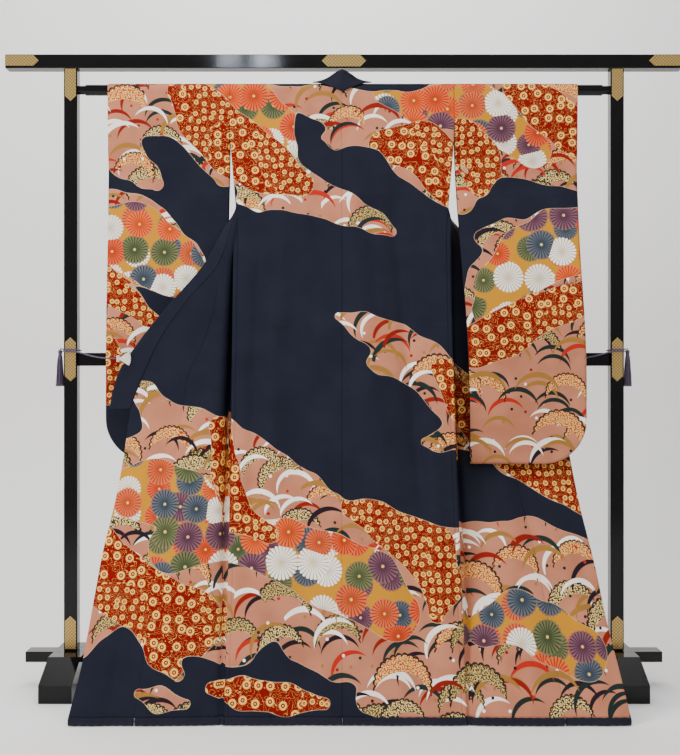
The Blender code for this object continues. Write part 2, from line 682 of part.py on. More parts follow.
def make_hem():
    """Six strips of roll, end to end under the six widths."""
    for side, hand in ((-1, "left"), (1, "right")):
        edge = side_x(side, HEM_Z)
        ends = (BODY_X + side * 0.0006, edge - side * 0.0006)
        make_hem_roll("hem_roll_back_" + hand, [back_point(lerp(*ends, t), HEM_Z) for t in spread(0, 1, 8)])
        front = [front_point(side, HEM_Z, t, 0, 1) for t in spread(0.035, 0.990, 12)]
        make_hem_roll("hem_roll_front_" + hand, front)
        overlap = [front_point(side, HEM_Z, t, 1, 2) for t in spread(0.012, 1.0, 6)]
        make_hem_roll("hem_roll_okumi_" + hand, overlap)


# ---------------------------------------------------------------- clips, cords and tassels
CLIP_Z = 0.927
CLIP_REACH = 0.036
CLIP_HALF_ANGLE = math.radians(33)
JAW_GAP = 0.0048
JAW_THICKNESS = 0.0020
BARREL_RADIUS = 0.0055
CORD_RADIUS = 0.0019
CORD_Z = 0.9486              # first turn round the post, just above the middle rail
CORD_PITCH = 0.0052
CORD_CLEAR = 0.0013
TASSEL_LENGTH = 0.102
TASSEL_OUT = 0.0105         # the tassel hangs clear of the turns of cord
TASSEL_HEAD = 0.024
STRAND_RADIUS = 0.0009
STRAND_RINGS = [(1, 0.0, 0.0), (7, 0.0024, 0.0042), (13, 0.0043, 0.0080), (17, 0.0058, 0.0112)]  # count, radii


def make_clip(side, hand):
    """A small fan clip: two jaws on a barrel, one each side of the collar's rim."""
    rim = front_point(side, CLIP_Z, 0.90, 2, 3)
    barrel_x = rim.x + side * 0.030
    fan = [(0.0, -0.004), (0.0, 0.004)]
    for k in range(7):
        turn = lerp(CLIP_HALF_ANGLE, -CLIP_HALF_ANGLE, k / 6)
        fan.append((-side * CLIP_REACH * math.cos(turn), CLIP_REACH * math.sin(turn)))
    barrel = make_rod("clip_" + hand, BARREL_RADIUS, 0.018, Vector((barrel_x, rim.y, CLIP_Z)), (0, 0, 1),
                      SHELL_WHITE, 12)
    for facing in (-1, 1):
        jaw = make_plate(f"clip_jaw_{hand}_{facing}", fan, JAW_THICKNESS,
                         Vector((barrel_x, rim.y + facing * JAW_GAP, CLIP_Z)), SHELL_WHITE, facing)
        model.objects.unlink(jaw)
        cutters.objects.link(jaw)
        jaw.hide_render = True
        jaw.display_type = "WIRE"
        cut(barrel, jaw, "UNION")
    return Vector((barrel_x + side * (BARREL_RADIUS + CORD_RADIUS + SEAM_GAP), rim.y, CLIP_Z + 0.001))


def make_cord(side, hand, start):
    """A cord from the clip, once round the post and half again to the knot."""
    near = POST_SIDE / 2 + CORD_CLEAR + CORD_RADIUS
    out = near + PLATE_THICKNESS + SEAM_GAP
    corner = 0.86 * near
    turns = [(-corner, out), (corner, out), (near, corner), (near, -corner), (corner, -out), (-corner, -out),
             (-near, -corner), (-near, corner), (-corner, out), (corner, out), (near, corner), (near, 0.5 * near),
             (near + TASSEL_OUT, 0.2 * near)]
    points = [start]
    first = place(side * (POST_X - corner), out, CORD_Z)
    for t in (0.25, 0.5, 0.75):
        point = start.lerp(first, t)
        point.z -= 0.006 * math.sin(math.pi * t)
        points.append(point)
    for k, (across, ahead) in enumerate(turns):
        points.append(place(side * (POST_X + across), ahead, CORD_Z + CORD_PITCH * k / 8))
    smooth = corner_cut(points, 1)
    make_tube("cord_" + hand, smooth, CORD_RADIUS, CORD)
    return smooth[-1]


def make_tassel(side, hand, knot):
    """A bound head with a skirt of separate strands rooted in it."""
    top = knot.z - CORD_RADIUS - SEAM_GAP
    centre = Vector((knot.x, knot.y, 0.0))
    profile = [(0.0, top), (0.0034, top - 0.001), (0.0062, top - 0.006), (0.0056, top - 0.011),
               (0.0050, top - 0.013), (0.0066, top - 0.017), (0.0072, top - TASSEL_HEAD), (0.0, top - TASSEL_HEAD)]
    mesh = bpy.data.meshes.new("tassel_" + hand)
    mesh.from_pydata([(radius, 0.0, z) for radius, z in profile],
                     [(i, i + 1) for i in range(len(profile) - 1)], [])
    head = add_object("tassel_" + hand, mesh, CORD)
    turn = head.modifiers.new("turn", "SCREW")
    turn.steps = turn.render_steps = 14
    turn.use_merge_vertices = True
    turn.merge_threshold = 0.0001
    head.location = centre
    skirt = bmesh.new()
    root = top - TASSEL_HEAD + 0.003
    tip = top - TASSEL_LENGTH
    for count, above, below in STRAND_RINGS:
        for k in range(count):
            angle = 2 * math.pi * k / count + 0.4 * count
            drop = 0.003 * math.sin(5.0 * k + count)
            a = Vector((above * math.cos(angle), above * math.sin(angle), root))
            b = Vector((below * math.cos(angle), below * math.sin(angle), tip + drop))
            made = bmesh.ops.create_cone(skirt, cap_ends=True, segments=4, radius1=STRAND_RADIUS,
                                         radius2=STRAND_RADIUS, depth=(a - b).length)
            turn_to = Vector((0, 0, 1)).rotation_difference(a - b).to_matrix().to_4x4()
            turn_to.translation = (a + b) / 2
            bmesh.ops.transform(skirt, matrix=turn_to, verts=made["verts"])
    strands_mesh = bpy.data.meshes.new("tassel_strands_" + hand)
    skirt.to_mesh(strands_mesh)
    skirt.free()
    strands = add_object("tassel_strands_" + hand, strands_mesh, None, cutters)
    strands.location = centre
    cut(head, strands, "UNION")


# ---------------------------------------------------------------- putting it together
make_stand()
for hand_side, hand_name in ((-1, "left"), (1, "right")):
    make_back(hand_side, hand_name)
    make_front(hand_side, hand_name)
    make_okumi(hand_side, hand_name)
    make_front_collar(hand_side, hand_name)
    make_sleeve(hand_side, hand_name)
    cord_start = make_clip(hand_side, hand_name)
    knot_place = make_cord(hand_side, hand_name, cord_start)
    make_tassel(hand_side, hand_name, knot_place)
make_neck_collar()
make_hem()
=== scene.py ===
"""A long-sleeved wedding kimono spread from behind over a black lacquered kimono stand.

Sections follow the object as it is put together: the view and light, the lacquered
stand, its brass plates, the cloth's drape, its dyed pattern, the sewn widths, the
collar, the padded hem, and last the clips, cords and tassels. Metres throughout.
"""
import math

import bmesh
import bpy
import numpy as np
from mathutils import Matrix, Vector


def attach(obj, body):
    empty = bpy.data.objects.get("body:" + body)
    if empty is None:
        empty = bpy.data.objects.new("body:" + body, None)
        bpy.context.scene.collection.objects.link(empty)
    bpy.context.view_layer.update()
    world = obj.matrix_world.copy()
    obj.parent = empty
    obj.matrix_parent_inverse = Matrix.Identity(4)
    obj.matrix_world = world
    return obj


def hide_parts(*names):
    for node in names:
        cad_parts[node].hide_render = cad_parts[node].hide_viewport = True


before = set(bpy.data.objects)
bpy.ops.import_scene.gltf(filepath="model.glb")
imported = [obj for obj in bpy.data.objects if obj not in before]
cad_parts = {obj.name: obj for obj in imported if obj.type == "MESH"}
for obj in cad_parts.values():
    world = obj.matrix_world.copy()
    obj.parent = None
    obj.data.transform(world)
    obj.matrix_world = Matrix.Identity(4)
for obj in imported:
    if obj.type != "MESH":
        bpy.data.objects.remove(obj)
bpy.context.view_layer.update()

# ---------------------------------------------------------------- view, floor and light
# A level camera at waist height looks straight at the garment's back, from far enough
# off that the stand fills the width. A pale floor runs up into a pale wall behind it.
POST_Y = 0.1093                       # plane of the stand's posts
VIEW_DISTANCE = 3.500
VIEW_HEIGHT = 0.875
VIEW_ACROSS = -0.011
VIEW_SLOPE = 377.5 / 1228.0           # half the height of the view over its distance
SENSOR = 24.0


def new_object(name, data):
    """An object in the scene for some data."""
    made = bpy.data.objects.new(name, data)
    bpy.context.collection.objects.link(made)
    return made


camera_data = bpy.data.cameras.new("camera")
camera_data.sensor_fit = "VERTICAL"
camera_data.sensor_height = SENSOR
camera_data.lens = SENSOR / 2 / VIEW_SLOPE
camera = new_object("camera", camera_data)
camera.location = (VIEW_ACROSS, POST_Y - VIEW_DISTANCE, VIEW_HEIGHT)
camera.rotation_euler = (math.pi / 2, 0, 0)
bpy.context.scene.camera = camera


def link(source, target):
    """Join two sockets of one node tree."""
    source.id_data.links.new(source, target)


def feed(socket, value):
    """Give a socket a link or a constant, or leave it as it is for None."""
    if isinstance(value, bpy.types.NodeSocket):
        link(value, socket)
    elif value is not None:
        socket.default_value = value


def add_node(tree, kind, inputs=None, **settings):
    """One node with its settings; inputs gives sockets their links or constants."""
    made = tree.nodes.new(kind)
    for name, value in settings.items():
        setattr(made, name, value)
    for name, value in (inputs or {}).items():
        feed(made.inputs[name], value)
    return made


def wire(shader, **values):
    """Feed a shader's sockets by name, with underscores for blanks."""
    for socket, value in values.items():
        feed(shader.inputs[socket.replace("_", " ")], value)


def new_material(name, **values):
    """A material with one Principled shader; values feed its sockets by name."""
    material = bpy.data.materials.new(name)
    material.use_nodes = True
    shader = material.node_tree.nodes["Principled BSDF"]
    wire(shader, **values)
    return material, material.node_tree, shader


FLOOR_HALF = 6.0
WALL_Y = 1.9
WALL_TOP = 4.5
COVE = 0.9                            # radius of the round between floor and wall
COVE_POINTS = 14
profile = [(-FLOOR_HALF, 0.0), (WALL_Y - COVE, 0.0)]
profile += [(WALL_Y - COVE + COVE * math.sin(angle), COVE * (1 - math.cos(angle)))
            for angle in np.linspace(0, math.pi / 2, COVE_POINTS)[1:]]
profile.append((WALL_Y, WALL_TOP))
floor_mesh = bpy.data.meshes.new("studio_floor")
floor_mesh.from_pydata([(side * FLOOR_HALF, y, z) for side in (-1, 1) for y, z in profile], [],
                       [(i, i + len(profile), i + len(profile) + 1, i + 1) for i in range(len(profile) - 1)])
floor_mesh.shade_smooth()
studio_floor = new_object("studio_floor", floor_mesh)
pale, tree, shader = new_material("pale_floor", Base_Color=(0.86, 0.84, 0.82, 1), Roughness=0.9)
behind = add_node(tree, "ShaderNodeNewGeometry")
clear = add_node(tree, "ShaderNodeBsdfTransparent")
see_past = add_node(tree, "ShaderNodeMixShader", {"Fac": behind.outputs["Backfacing"],
                                                  1: shader.outputs["BSDF"], 2: clear.outputs["BSDF"]})
link(see_past.outputs["Shader"], tree.nodes["Material Output"].inputs["Surface"])
floor_mesh.materials.append(pale)

world = bpy.data.worlds.new("studio")
world.use_nodes = True
world.node_tree.nodes["Background"].inputs["Color"].default_value = (0.93, 0.95, 1.0, 1)
world.node_tree.nodes["Background"].inputs["Strength"].default_value = 0.43
bpy.context.scene.world = world


def softbox(name, where, target, size, power, mirrored=False, tint=(1.0, 1.0, 1.0)):
    """A square area light aimed at a point; only a mirrored one shows in polished things."""
    light = bpy.data.lights.new(name, "AREA")
    light.shape = "SQUARE"
    light.size = size
    light.energy = power
    light.color = tint
    lamp = new_object(name, light)
    lamp.location = where
    lamp.rotation_euler = (Vector(target) - Vector(where)).to_track_quat("-Z", "Y").to_euler()
    lamp.visible_glossy = mirrored


softbox("key_light", (-2.7, -2.0, 2.6), (0.0, 0.0, 0.9), 1.4, 134)
softbox("fill_light", (2.0, -3.0, 1.9), (0.0, 0.0, 0.8), 2.2, 37)
softbox("top_light", (0.0, -0.9, 3.6), (0.0, 0.0, 0.6), 2.0, 34)
softbox("wall_light", (0.0, 0.6, 3.6), (0.0, 1.9, 1.2), 2.6, 80)
LAMP_TINT = (0.80, 0.87, 1.0)
softbox("lamp_left", (-0.603, -3.0, 2.573), (-0.325, 0.08, 1.775), 0.10, 1.5, True, LAMP_TINT)
softbox("lamp_right", (-0.420, -3.0, 2.573), (-0.228, 0.08, 1.775), 0.12, 2.1, True, LAMP_TINT)

# ---------------------------------------------------------------- lacquered stand
# Beam, posts, pole, rails and sled feet: planed hardwood under many coats of black
# lacquer, rubbed back so the arrises show a little softer than the faces.
def calc(operation, first, second=None, clamp=False):
    """A Math node; each operand is a socket or a number."""
    tree = next(value.id_data for value in (first, second) if isinstance(value, bpy.types.NodeSocket))
    return add_node(tree, "ShaderNodeMath", {0: first, 1: second}, operation=operation,
                    use_clamp=clamp).outputs[0]


def plus(first, second):
    """Sum of two operands."""
    return calc("ADD", first, second)


def minus(first, second):
    """The first operand less the second."""
    return calc("SUBTRACT", first, second)


def times(first, second):
    """Product of two operands."""
    return calc("MULTIPLY", first, second)


def blend(factor, first, second):
    """A colour Mix by a factor socket; the colours are sockets or plain values."""
    return add_node(factor.id_data, "ShaderNodeMix", {0: factor, 6: first, 7: second},
                    data_type="RGBA").outputs[2]


def noise(vector, scale, detail, **more):
    """The grey of a noise texture."""
    return add_node(vector.id_data, "ShaderNodeTexNoise",
                    {"Vector": vector, "Scale": scale, "Detail": detail, **more}).outputs["Fac"]


def object_place(tree):
    """Where a point lies on its object."""
    return add_node(tree, "ShaderNodeTexCoord").outputs["Object"]


def emboss(shader, height, strength, distance, invert=False):
    """Give a shader a bump from a height."""
    bump = add_node(shader.id_data, "ShaderNodeBump",
                    {"Strength": strength, "Distance": distance, "Height": height}, invert=invert)
    link(bump.outputs["Normal"], shader.inputs["Normal"])


def new_group(name, inputs, outputs):
    """The start and end of an empty shader group, its sockets' types given by name."""
    group = bpy.data.node_groups.new(name, "ShaderNodeTree")
    for side, sockets in (("INPUT", inputs), ("OUTPUT", outputs)):
        for socket, kind in sockets.items():
            group.interface.new_socket(socket, in_out=side, socket_type="NodeSocket" + kind)
    return group.nodes.new("NodeGroupInput"), group.nodes.new("NodeGroupOutput")


def layer(group, vector, **values):
    """A copy of a shader group fed with a vector and constants."""
    return add_node(vector.id_data, "ShaderNodeGroup", {"Vector": vector, **values}, node_tree=group)


def brush_group():
    """Uneven sheen of a hand-laid coat: a roughness mask and a faint height."""
    start, end = new_group("hand_laid_coat", dict(Vector="Vector", Scale="Float"),
                           dict(Mask="Float", Height="Float"))
    spot, scale = start.outputs["Vector"], start.outputs["Scale"]
    link(noise(spot, scale, 3.0, Roughness=0.6), end.inputs["Mask"])
    link(noise(spot, times(scale, 14.0), 5.0, Roughness=0.7), end.inputs["Height"])
    return end.id_data


lacquer, tree, shader = new_material("black_lacquer", Specular_IOR_Level=0.22)
coat = layer(brush_group(), object_place(tree), Scale=9.0)
sheen = add_node(tree, "ShaderNodeMapRange", {"Value": coat.outputs["Mask"], "From Min": 0.35,
                                              "From Max": 0.7, "To Min": 0.05, "To Max": 0.11})
wire(shader, Roughness=sheen.outputs["Result"],
     Base_Color=blend(coat.outputs["Mask"], (0.0030, 0.0028, 0.0030, 1), (0.0055, 0.0052, 0.0052, 1)))
emboss(shader, coat.outputs["Height"], 0.06, 0.0005)


def give_material(node, material):
    """Put one material on a node of the frame."""
    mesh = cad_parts[node].data
    mesh.materials.clear()
    mesh.materials.append(material)


for node in ("top_beam", "post_left", "post_right", "hanging_pole", "middle_rail", "sill_rail", "foot_left",
             "foot_right"):
    give_material(node, lacquer)

# ---------------------------------------------------------------- brass plates
# Thin gilt plates pinned over the stand's joints and beam ends, each engraved with a
# fine cross-hatched lattice and dulled in the grooves.
LATTICE_WAVES = 330.0                 # radians a metre along each diagonal
LATTICE_POWER = 6.0                   # how narrow its lines are
brass, tree, shader = new_material("engraved_brass", Metallic=0.7)
where = object_place(tree)
split = add_node(tree, "ShaderNodeSeparateXYZ", {"Vector": where})
diagonals = [combine(split.outputs["X"], split.outputs["Z"]) for combine in (plus, minus)]
lattice = calc("MAXIMUM", *[calc("POWER", calc("ABSOLUTE", calc("SINE", times(diagonal, LATTICE_WAVES))),
                                 LATTICE_POWER) for diagonal in diagonals])
wear = times(noise(where, 90.0, 4.0), 0.25)
tone = blend(times(lattice, 0.85), (0.80, 0.54, 0.18, 1), (0.13, 0.070, 0.020, 1))
wire(shader, Base_Color=blend(wear, tone, (0.50, 0.33, 0.12, 1)), Roughness=plus(wear, 0.24))
emboss(shader, lattice, 0.5, 0.0004, invert=True)
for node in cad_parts:
    if node.startswith(("beam_plate", "post_plate")):
        give_material(node, brass)

# ---------------------------------------------------------------- how the cloth hangs
# One set of rules drapes every width: the back falls from the pole and is drawn forward
# at the hem, the fronts are swung out past the side seams, the sleeves hang as flat
# bags. "ahead" is the distance in front of the posts.
POLE_Z = 1.6935
CLOTH_RADIUS = 0.0175                 # of the cloth lying round the pole
BODY_X = -0.005
SHOULDER_HALF = 0.3178
HIP_HALF = 0.2945
HEM_REACH = 0.404
HANG_POWER = 1.9
SIDE_SEAM_Z = 1.310
NECK_HALF = 0.086
COLLAR_END_Z = 0.790
ROLL_RADIUS = 0.0107
HEM_Z = 2 * ROLL_RADIUS + 0.0007
TOP_TURN = 0.985                      # of the quarter turn over the pole
DRIFT = 0.008                         # of the lower body to the right
DRIFT_SPAN = (1.2, 0.0)               # levels between which it grows
HIPS_TO_SHOULDERS = (1.25, 1.60)
PLAIN_TOP = (1.60, 1.69)              # the back's folds die out between these


def lerp(a, b, t):
    """Straight blend."""
    return a + (b - a) * t


def ease(low, high, value):
    """Smooth step from 0 at low to 1 at high."""
    t = max(0.0, min(1.0, (value - low) / (high - low)))
    return t * t * (3 - 2 * t)


def along(rows, column, z):
    """Smooth curve through one column of a table whose first column is a falling height."""
    heights = [row[0] for row in rows]
    values = [row[column] for row in rows]
    if z >= heights[0]:
        return values[0]
    if z <= heights[-1]:
        return values[-1]
    i = next(k for k in range(len(rows) - 1) if heights[k + 1] <= z)
    slopes = [(values[k + 1] - values[k]) / (heights[k + 1] - heights[k]) for k in range(len(rows) - 1)]

    def tangent(k):
        if k == 0 or k == len(rows) - 1:
            return slopes[min(k, len(slopes) - 1)]
        before, after = slopes[k - 1], slopes[k]
        return 0.0 if before * after <= 0 else 2 * before * after / (before + after)

    span = heights[i + 1] - heights[i]
    t = (z - heights[i]) / span
    return ((2 * t ** 3 - 3 * t ** 2 + 1) * values[i] + (t ** 3 - 2 * t ** 2 + t) * span * tangent(i)
            + (3 * t ** 2 - 2 * t ** 3) * values[i + 1] + (t ** 3 - t ** 2) * span * tangent(i + 1))


def place(x, ahead, z):
    """World point from an X, a distance ahead of the posts and a height."""
    return Vector((x, POST_Y - ahead, z))


FOLD_RISE = (-0.1, 0.25)              # shares of its run over which a fold comes up
FOLD_FALL = (0.8, 1.1)                # and dies away
BACK_FOLDS = [  # top z, bottom z, x at top, x at bottom, half width, height (minus is a valley)
    (1.62, 0.55, -0.155, -0.215, 0.034, 0.0100),
    (1.30, 0.35, -0.235, -0.255, 0.021, -0.0085),
    (1.66, 0.75, 0.025, 0.055, 0.038, 0.0085),
    (1.45, 0.50, 0.135, 0.210, 0.021, -0.0095),
    (1.10, 0.03, 0.075, 0.115, 0.043, 0.0085),
    (0.75, 0.03, -0.120, -0.105, 0.037, -0.0090),
    (0.90, 0.03, 0.235, 0.250, 0.028, 0.0080),
    (1.58, 1.20, 0.235, 0.255, 0.016, 0.0022),
    (1.50, 0.95, -0.075, -0.090, 0.018, -0.0022),
    (1.35, 0.85, 0.095, 0.120, 0.014, 0.0020),
    (1.60, 1.25, -0.250, -0.262, 0.015, -0.0024),
    (0.62, 0.10, 0.020, 0.010, 0.022, 0.0026),
    (0.48, 0.03, -0.215, -0.222, 0.018, 0.0026),
    (0.55, 0.03, 0.170, 0.182, 0.016, -0.0024),
]


def fold_height(folds, x, z):
    """Sum of the soft ridges and valleys at one spot."""
    total = 0.0
    for top, bottom, x_top, x_bottom, half_width, height in folds:
        run = (top - z) / (top - bottom)
        if FOLD_RISE[0] < run < FOLD_FALL[1]:
            centre = lerp(x_top, x_bottom, run)
            total += height * ease(*FOLD_RISE, run) * (1 - ease(*FOLD_FALL, run)) * math.exp(
                -((x - centre) / half_width) ** 2)
    return total


def hang(z):
    """How far ahead of the posts the back of the garment hangs at a height."""
    return CLOTH_RADIUS + HEM_REACH * max(0.0, 1 - z / POLE_Z) ** HANG_POWER


def drift(z):
    """How far the body hangs to the right at a height."""
    return DRIFT * ease(*DRIFT_SPAN, z)


def side_x(side, z):
    """The back's outer edge: sleeve seam above, side seam below."""
    half = lerp(HIP_HALF, SHOULDER_HALF, ease(*HIPS_TO_SHOULDERS, z))
    return BODY_X + side * half + drift(z)


def back_point(x, z):
    """A point of the back."""
    fade = 1 - ease(*PLAIN_TOP, z)
    return place(x, hang(z) + fade * fold_height(BACK_FOLDS, x - drift(z), z), z)


LEFT_FRONT = [  # z, overlap seam x, ahead, edge x, ahead, rim x, ahead, mouth of the fold, its depth
    (1.694, -0.092, -0.0182, -0.090, -0.0182, -0.047, -0.020, -0.230, 0.000),
    (1.550, -0.162, -0.064, -0.160, -0.066, -0.118, -0.082, -0.290, 0.020),
    (1.450, -0.251, -0.070, -0.250, -0.073, -0.224, -0.100, -0.296, 0.010),
    (1.385, -0.2985, -0.018, -0.299, -0.022, -0.302, -0.050, -0.298, 0.000),
    (1.340, -0.306, 0.024, -0.307, 0.023, -0.312, 0.018, -0.304, 0.000),
    (1.300, -0.311, 0.047, -0.316, 0.047, -0.334, 0.046, -0.304, 0.000),
    (1.200, -0.340, 0.064, -0.345, 0.064, -0.386, 0.064, -0.318, 0.018),
    (1.090, -0.352, 0.078, -0.434, 0.078, -0.476, 0.077, -0.324, 0.040),
    (0.980, -0.378, 0.092, -0.508, 0.089, -0.566, 0.086, -0.328, 0.050),
    (0.870, -0.4235, 0.104, -0.557, 0.098, -0.632, 0.093, -0.332, 0.052),
    (0.790, -0.436, 0.122, -0.585, 0.112, -0.648, 0.103, -0.336, 0.050),
    (0.650, -0.455, 0.166, -0.602, 0.140, -0.661, 0.130, -0.338, 0.042),
    (0.540, -0.468, 0.207, -0.618, 0.172, -0.678, 0.16, -0.338, 0.036),
    (0.390, -0.485, 0.264, -0.646, 0.228, -0.70, 0.21, -0.336, 0.028),
    (0.300, -0.494, 0.302, -0.655, 0.272, -0.71, 0.26, -0.334, 0.023),
    (0.140, -0.512, 0.370, -0.671, 0.358, -0.73, 0.35, -0.330, 0.015),
    (0.020, -0.526, 0.417, -0.693, 0.418, -0.75, 0.42, -0.326, 0.010),
]
RIGHT_FRONT = [
    (1.694, 0.082, -0.0182, 0.080, -0.0182, 0.037, -0.020, 0.220, 0.000),
    (1.550, 0.152, -0.064, 0.150, -0.066, 0.108, -0.082, 0.280, 0.020),
    (1.450, 0.242, -0.070, 0.240, -0.073, 0.215, -0.100, 0.290, 0.010),
    (1.385, 0.290, -0.060, 0.290, -0.065, 0.292, -0.096, 0.290, 0.000),
    (1.340, 0.304, -0.056, 0.306, -0.060, 0.311, -0.084, 0.296, 0.002),
    (1.300, 0.317, -0.052, 0.321, -0.054, 0.343, -0.070, 0.300, 0.010),
    (1.200, 0.368, -0.036, 0.376, -0.037, 0.420, -0.042, 0.305, 0.022),
    (1.090, 0.378, -0.004, 0.448, -0.006, 0.496, -0.008, 0.308, 0.026),
    (0.980, 0.390, 0.024, 0.513, 0.021, 0.568, 0.020, 0.312, 0.012),
    (0.870, 0.425, 0.031, 0.562, 0.026, 0.632, 0.024, 0.318, 0.014),
    (0.790, 0.440, 0.036, 0.588, 0.029, 0.650, 0.027, 0.324, 0.018),
    (0.675, 0.460, 0.050, 0.631, 0.040, 0.67, 0.034, 0.330, 0.022),
    (0.540, 0.485, 0.120, 0.647, 0.104, 0.70, 0.09, 0.334, 0.022),
    (0.350, 0.520, 0.228, 0.677, 0.202, 0.73, 0.19, 0.336, 0.018),
    (0.240, 0.532, 0.293, 0.689, 0.268, 0.74, 0.25, 0.335, 0.014),
    (0.140, 0.542, 0.352, 0.703, 0.336, 0.75, 0.33, 0.333, 0.011),
    (0.020, 0.553, 0.417, 0.720, 0.414, 0.77, 0.41, 0.330, 0.008),
]
FRONT_FOLDS = [  # top z, bottom z, share of the way out at top, at bottom, half width, height
    (1.00, 0.02, 0.42, 0.50, 0.10, 0.006),
    (0.85, 0.02, 0.66, 0.70, 0.07, -0.007),
    (0.70, 0.02, 0.84, 0.86, 0.06, 0.005),
    (0.95, 0.35, 0.55, 0.58, 0.035, 0.0022),
    (0.60, 0.02, 0.76, 0.78, 0.03, -0.0022),
]
OKUMI_TOP = 1.20                      # above this the front is sewn straight to its band
SEAM_LAP = 0.009                      # runs on level past the side seam before it folds
TUCK_SPAN = (SIDE_SEAM_Z + 0.01, SIDE_SEAM_Z + 0.13)    # above this a front starts behind the pole
OPENING_SPAN = (SIDE_SEAM_Z, SIDE_SEAM_Z + 0.06)        # above this it isn't sewn to the back
MOUTH_RANGE = (0.05, 0.9)             # limits of the pleat's mouth on the way to the overlap
WELL_SHARES = (0.30, 0.62)            # where the pleat lies deepest
CUTS = 4                              # rounds of corner cutting
FLAT_ABOVE = (0.7, 1.0)               # a front's folds die out between these levels
FLAT_PAST = (1.0, 1.3)                # and these shares of the way out
SECTIONS = {}


def corner_cut(points, rounds):
    """Round off a polyline, keeping its ends."""
    for _ in range(rounds):
        rounded = [points[0]]
        for a, b in zip(points, points[1:]):
            rounded += [a.lerp(b, 0.25), a.lerp(b, 0.75)]
        points = rounded + [points[-1]]
    return points


def section(side, z):
    """Level section of an opened front: running lengths, x, ahead, and the seams' places."""
    rows = LEFT_FRONT if side < 0 else RIGHT_FRONT
    okumi_x, okumi_a, edge_x, edge_a, rim_x, rim_a, mouth, pleat = [along(rows, c, z) for c in range(1, 9)]
    root_x = side_x(side, z)
    root_a = lerp(-CLOTH_RADIUS, hang(z), 1 - ease(*TUCK_SPAN, z))
    if z < SIDE_SEAM_Z:
        root_a = POST_Y - back_point(root_x, z).y
    root, okumi = Vector((root_x, root_a)), Vector((okumi_x, okumi_a))
    edge, rim = Vector((edge_x, edge_a)), Vector((rim_x, rim_a))
    mouth_t = 0.0 if abs(okumi.x - root.x) < 1e-6 else (mouth - root.x) / (okumi.x - root.x)
    lip = root.lerp(okumi, max(MOUTH_RANGE[0], min(MOUTH_RANGE[1], mouth_t)))
    if side > 0 and z < SIDE_SEAM_Z + 0.05:
        lip.y = lerp(okumi_a, root_a, 0.15)
    free = ease(*OPENING_SPAN, z)
    tangent = (lip - root) * 0.1 * free + Vector((side * SEAM_LAP, 0)) * (1 - free)
    inner = root + tangent
    floor = min(root_a, lip.y) - pleat
    well = [Vector((lerp(root.x, lip.x, share), floor)) for share in WELL_SHARES]
    keys = [root, inner, inner + tangent * 0.3] + well + [lip, okumi, edge, rim]
    curve = np.array([tuple(point) for point in corner_cut(keys, CUTS)])
    run = np.concatenate([[0.0], np.cumsum(np.linalg.norm(np.diff(curve, axis=0), axis=1))])
    key_run = np.cumsum([0.0] + [(b - a).length for a, b in zip(keys, keys[1:])])
    scale = run[-1] / key_run[-1]
    marks = (0.0, key_run[6] * scale, key_run[7] * scale, run[-1])
    return run, curve[:, 0], curve[:, 1], marks, key_run[4] * scale, key_run[5] * scale


def along_front(side, z, share, start, end):
    """The section at a height, and a place along it between two seams."""
    key = (side, round(z, 5))
    if key not in SECTIONS:
        SECTIONS[key] = section(side, z)
    marks = SECTIONS[key][3]
    if end == 1 and z > OKUMI_TOP:
        end = 2
    return SECTIONS[key], lerp(marks[start], max(marks[end], marks[start] + 0.002), share)


def front_print(side, z, share, start, end):
    """Where the dye lies on a front: even along the cloth, also where it turns into the pleat."""
    level = min(z, POLE_Z)
    (run, xs, _, marks, floor_run, lip_run), distance = along_front(side, level, share, start, end)
    if distance > lip_run:
        return float(np.interp(distance, run, xs)), z
    if level < SIDE_SEAM_Z and distance < floor_run:
        return xs[0] + side * distance, z
    outward = math.copysign(1.0, np.interp(marks[1], run, xs) - xs[0])
    return float(np.interp(lip_run, run, xs)) - outward * (lip_run - distance), z


def front_point(side, z, share, start, end):
    """A point of an opened front between two seams (0 side, 1 overlap seam, 2 edge, 3 rim)."""
    (run, xs, aheads, marks, _, _), distance = along_front(side, z, share, start, end)
    reach = distance / marks[2] if marks[2] else 0.0
    ahead = float(np.interp(distance, run, aheads)) + (1 - ease(*FLAT_ABOVE, z)) * (
        1 - ease(*FLAT_PAST, reach)) * fold_height(FRONT_FOLDS, reach, z)
    return place(float(np.interp(distance, run, xs)), ahead, z)


SLEEVES = {  # side: inner x above, inner x below, outer x above, outer x below, bottom z, corner, swing
    -1: (-0.3233, -0.336, -0.6700, -0.6720, 0.640, 0.120, 0.034),
    1: (0.3133, 0.349, 0.6630, 0.6730, 0.636, 0.120, 0.096),
}
CUFF_Z = 1.470                        # the cuff is open above this
CUFF_FADE = 0.06
SLEEVE_GAP = 0.016
# Levels between which a sleeve changes, from none of the change to all of it.
BODY_EDGE_SPAN = (0.75, 1.62)   # its edge beside the body leans
CUFF_EDGE_SPAN = (1.25, 0.75)   # its cuff side widens
SWING_SPAN = (1.56, 0.95)       # it swings out from the pole
CLOSING_SPAN = (1.66, 1.40)     # its two walls close up below the pole
SETBACK_SPAN = (1.42, 1.57)     # it stops hanging set back
BILLOW_SPAN = (1.50, 0.90)      # it bellies
BILLOW = 0.004
SETBACK = 0.004
ROUNDING = 0.008
WELD = 0.00005


def rounded(distance):
    """Half-round opening of the bag edge, 0 at the seam and 1 inside."""
    t = max(0.0, min(1.0, distance / ROUNDING))
    return math.sqrt(1 - (1 - t) ** 2)


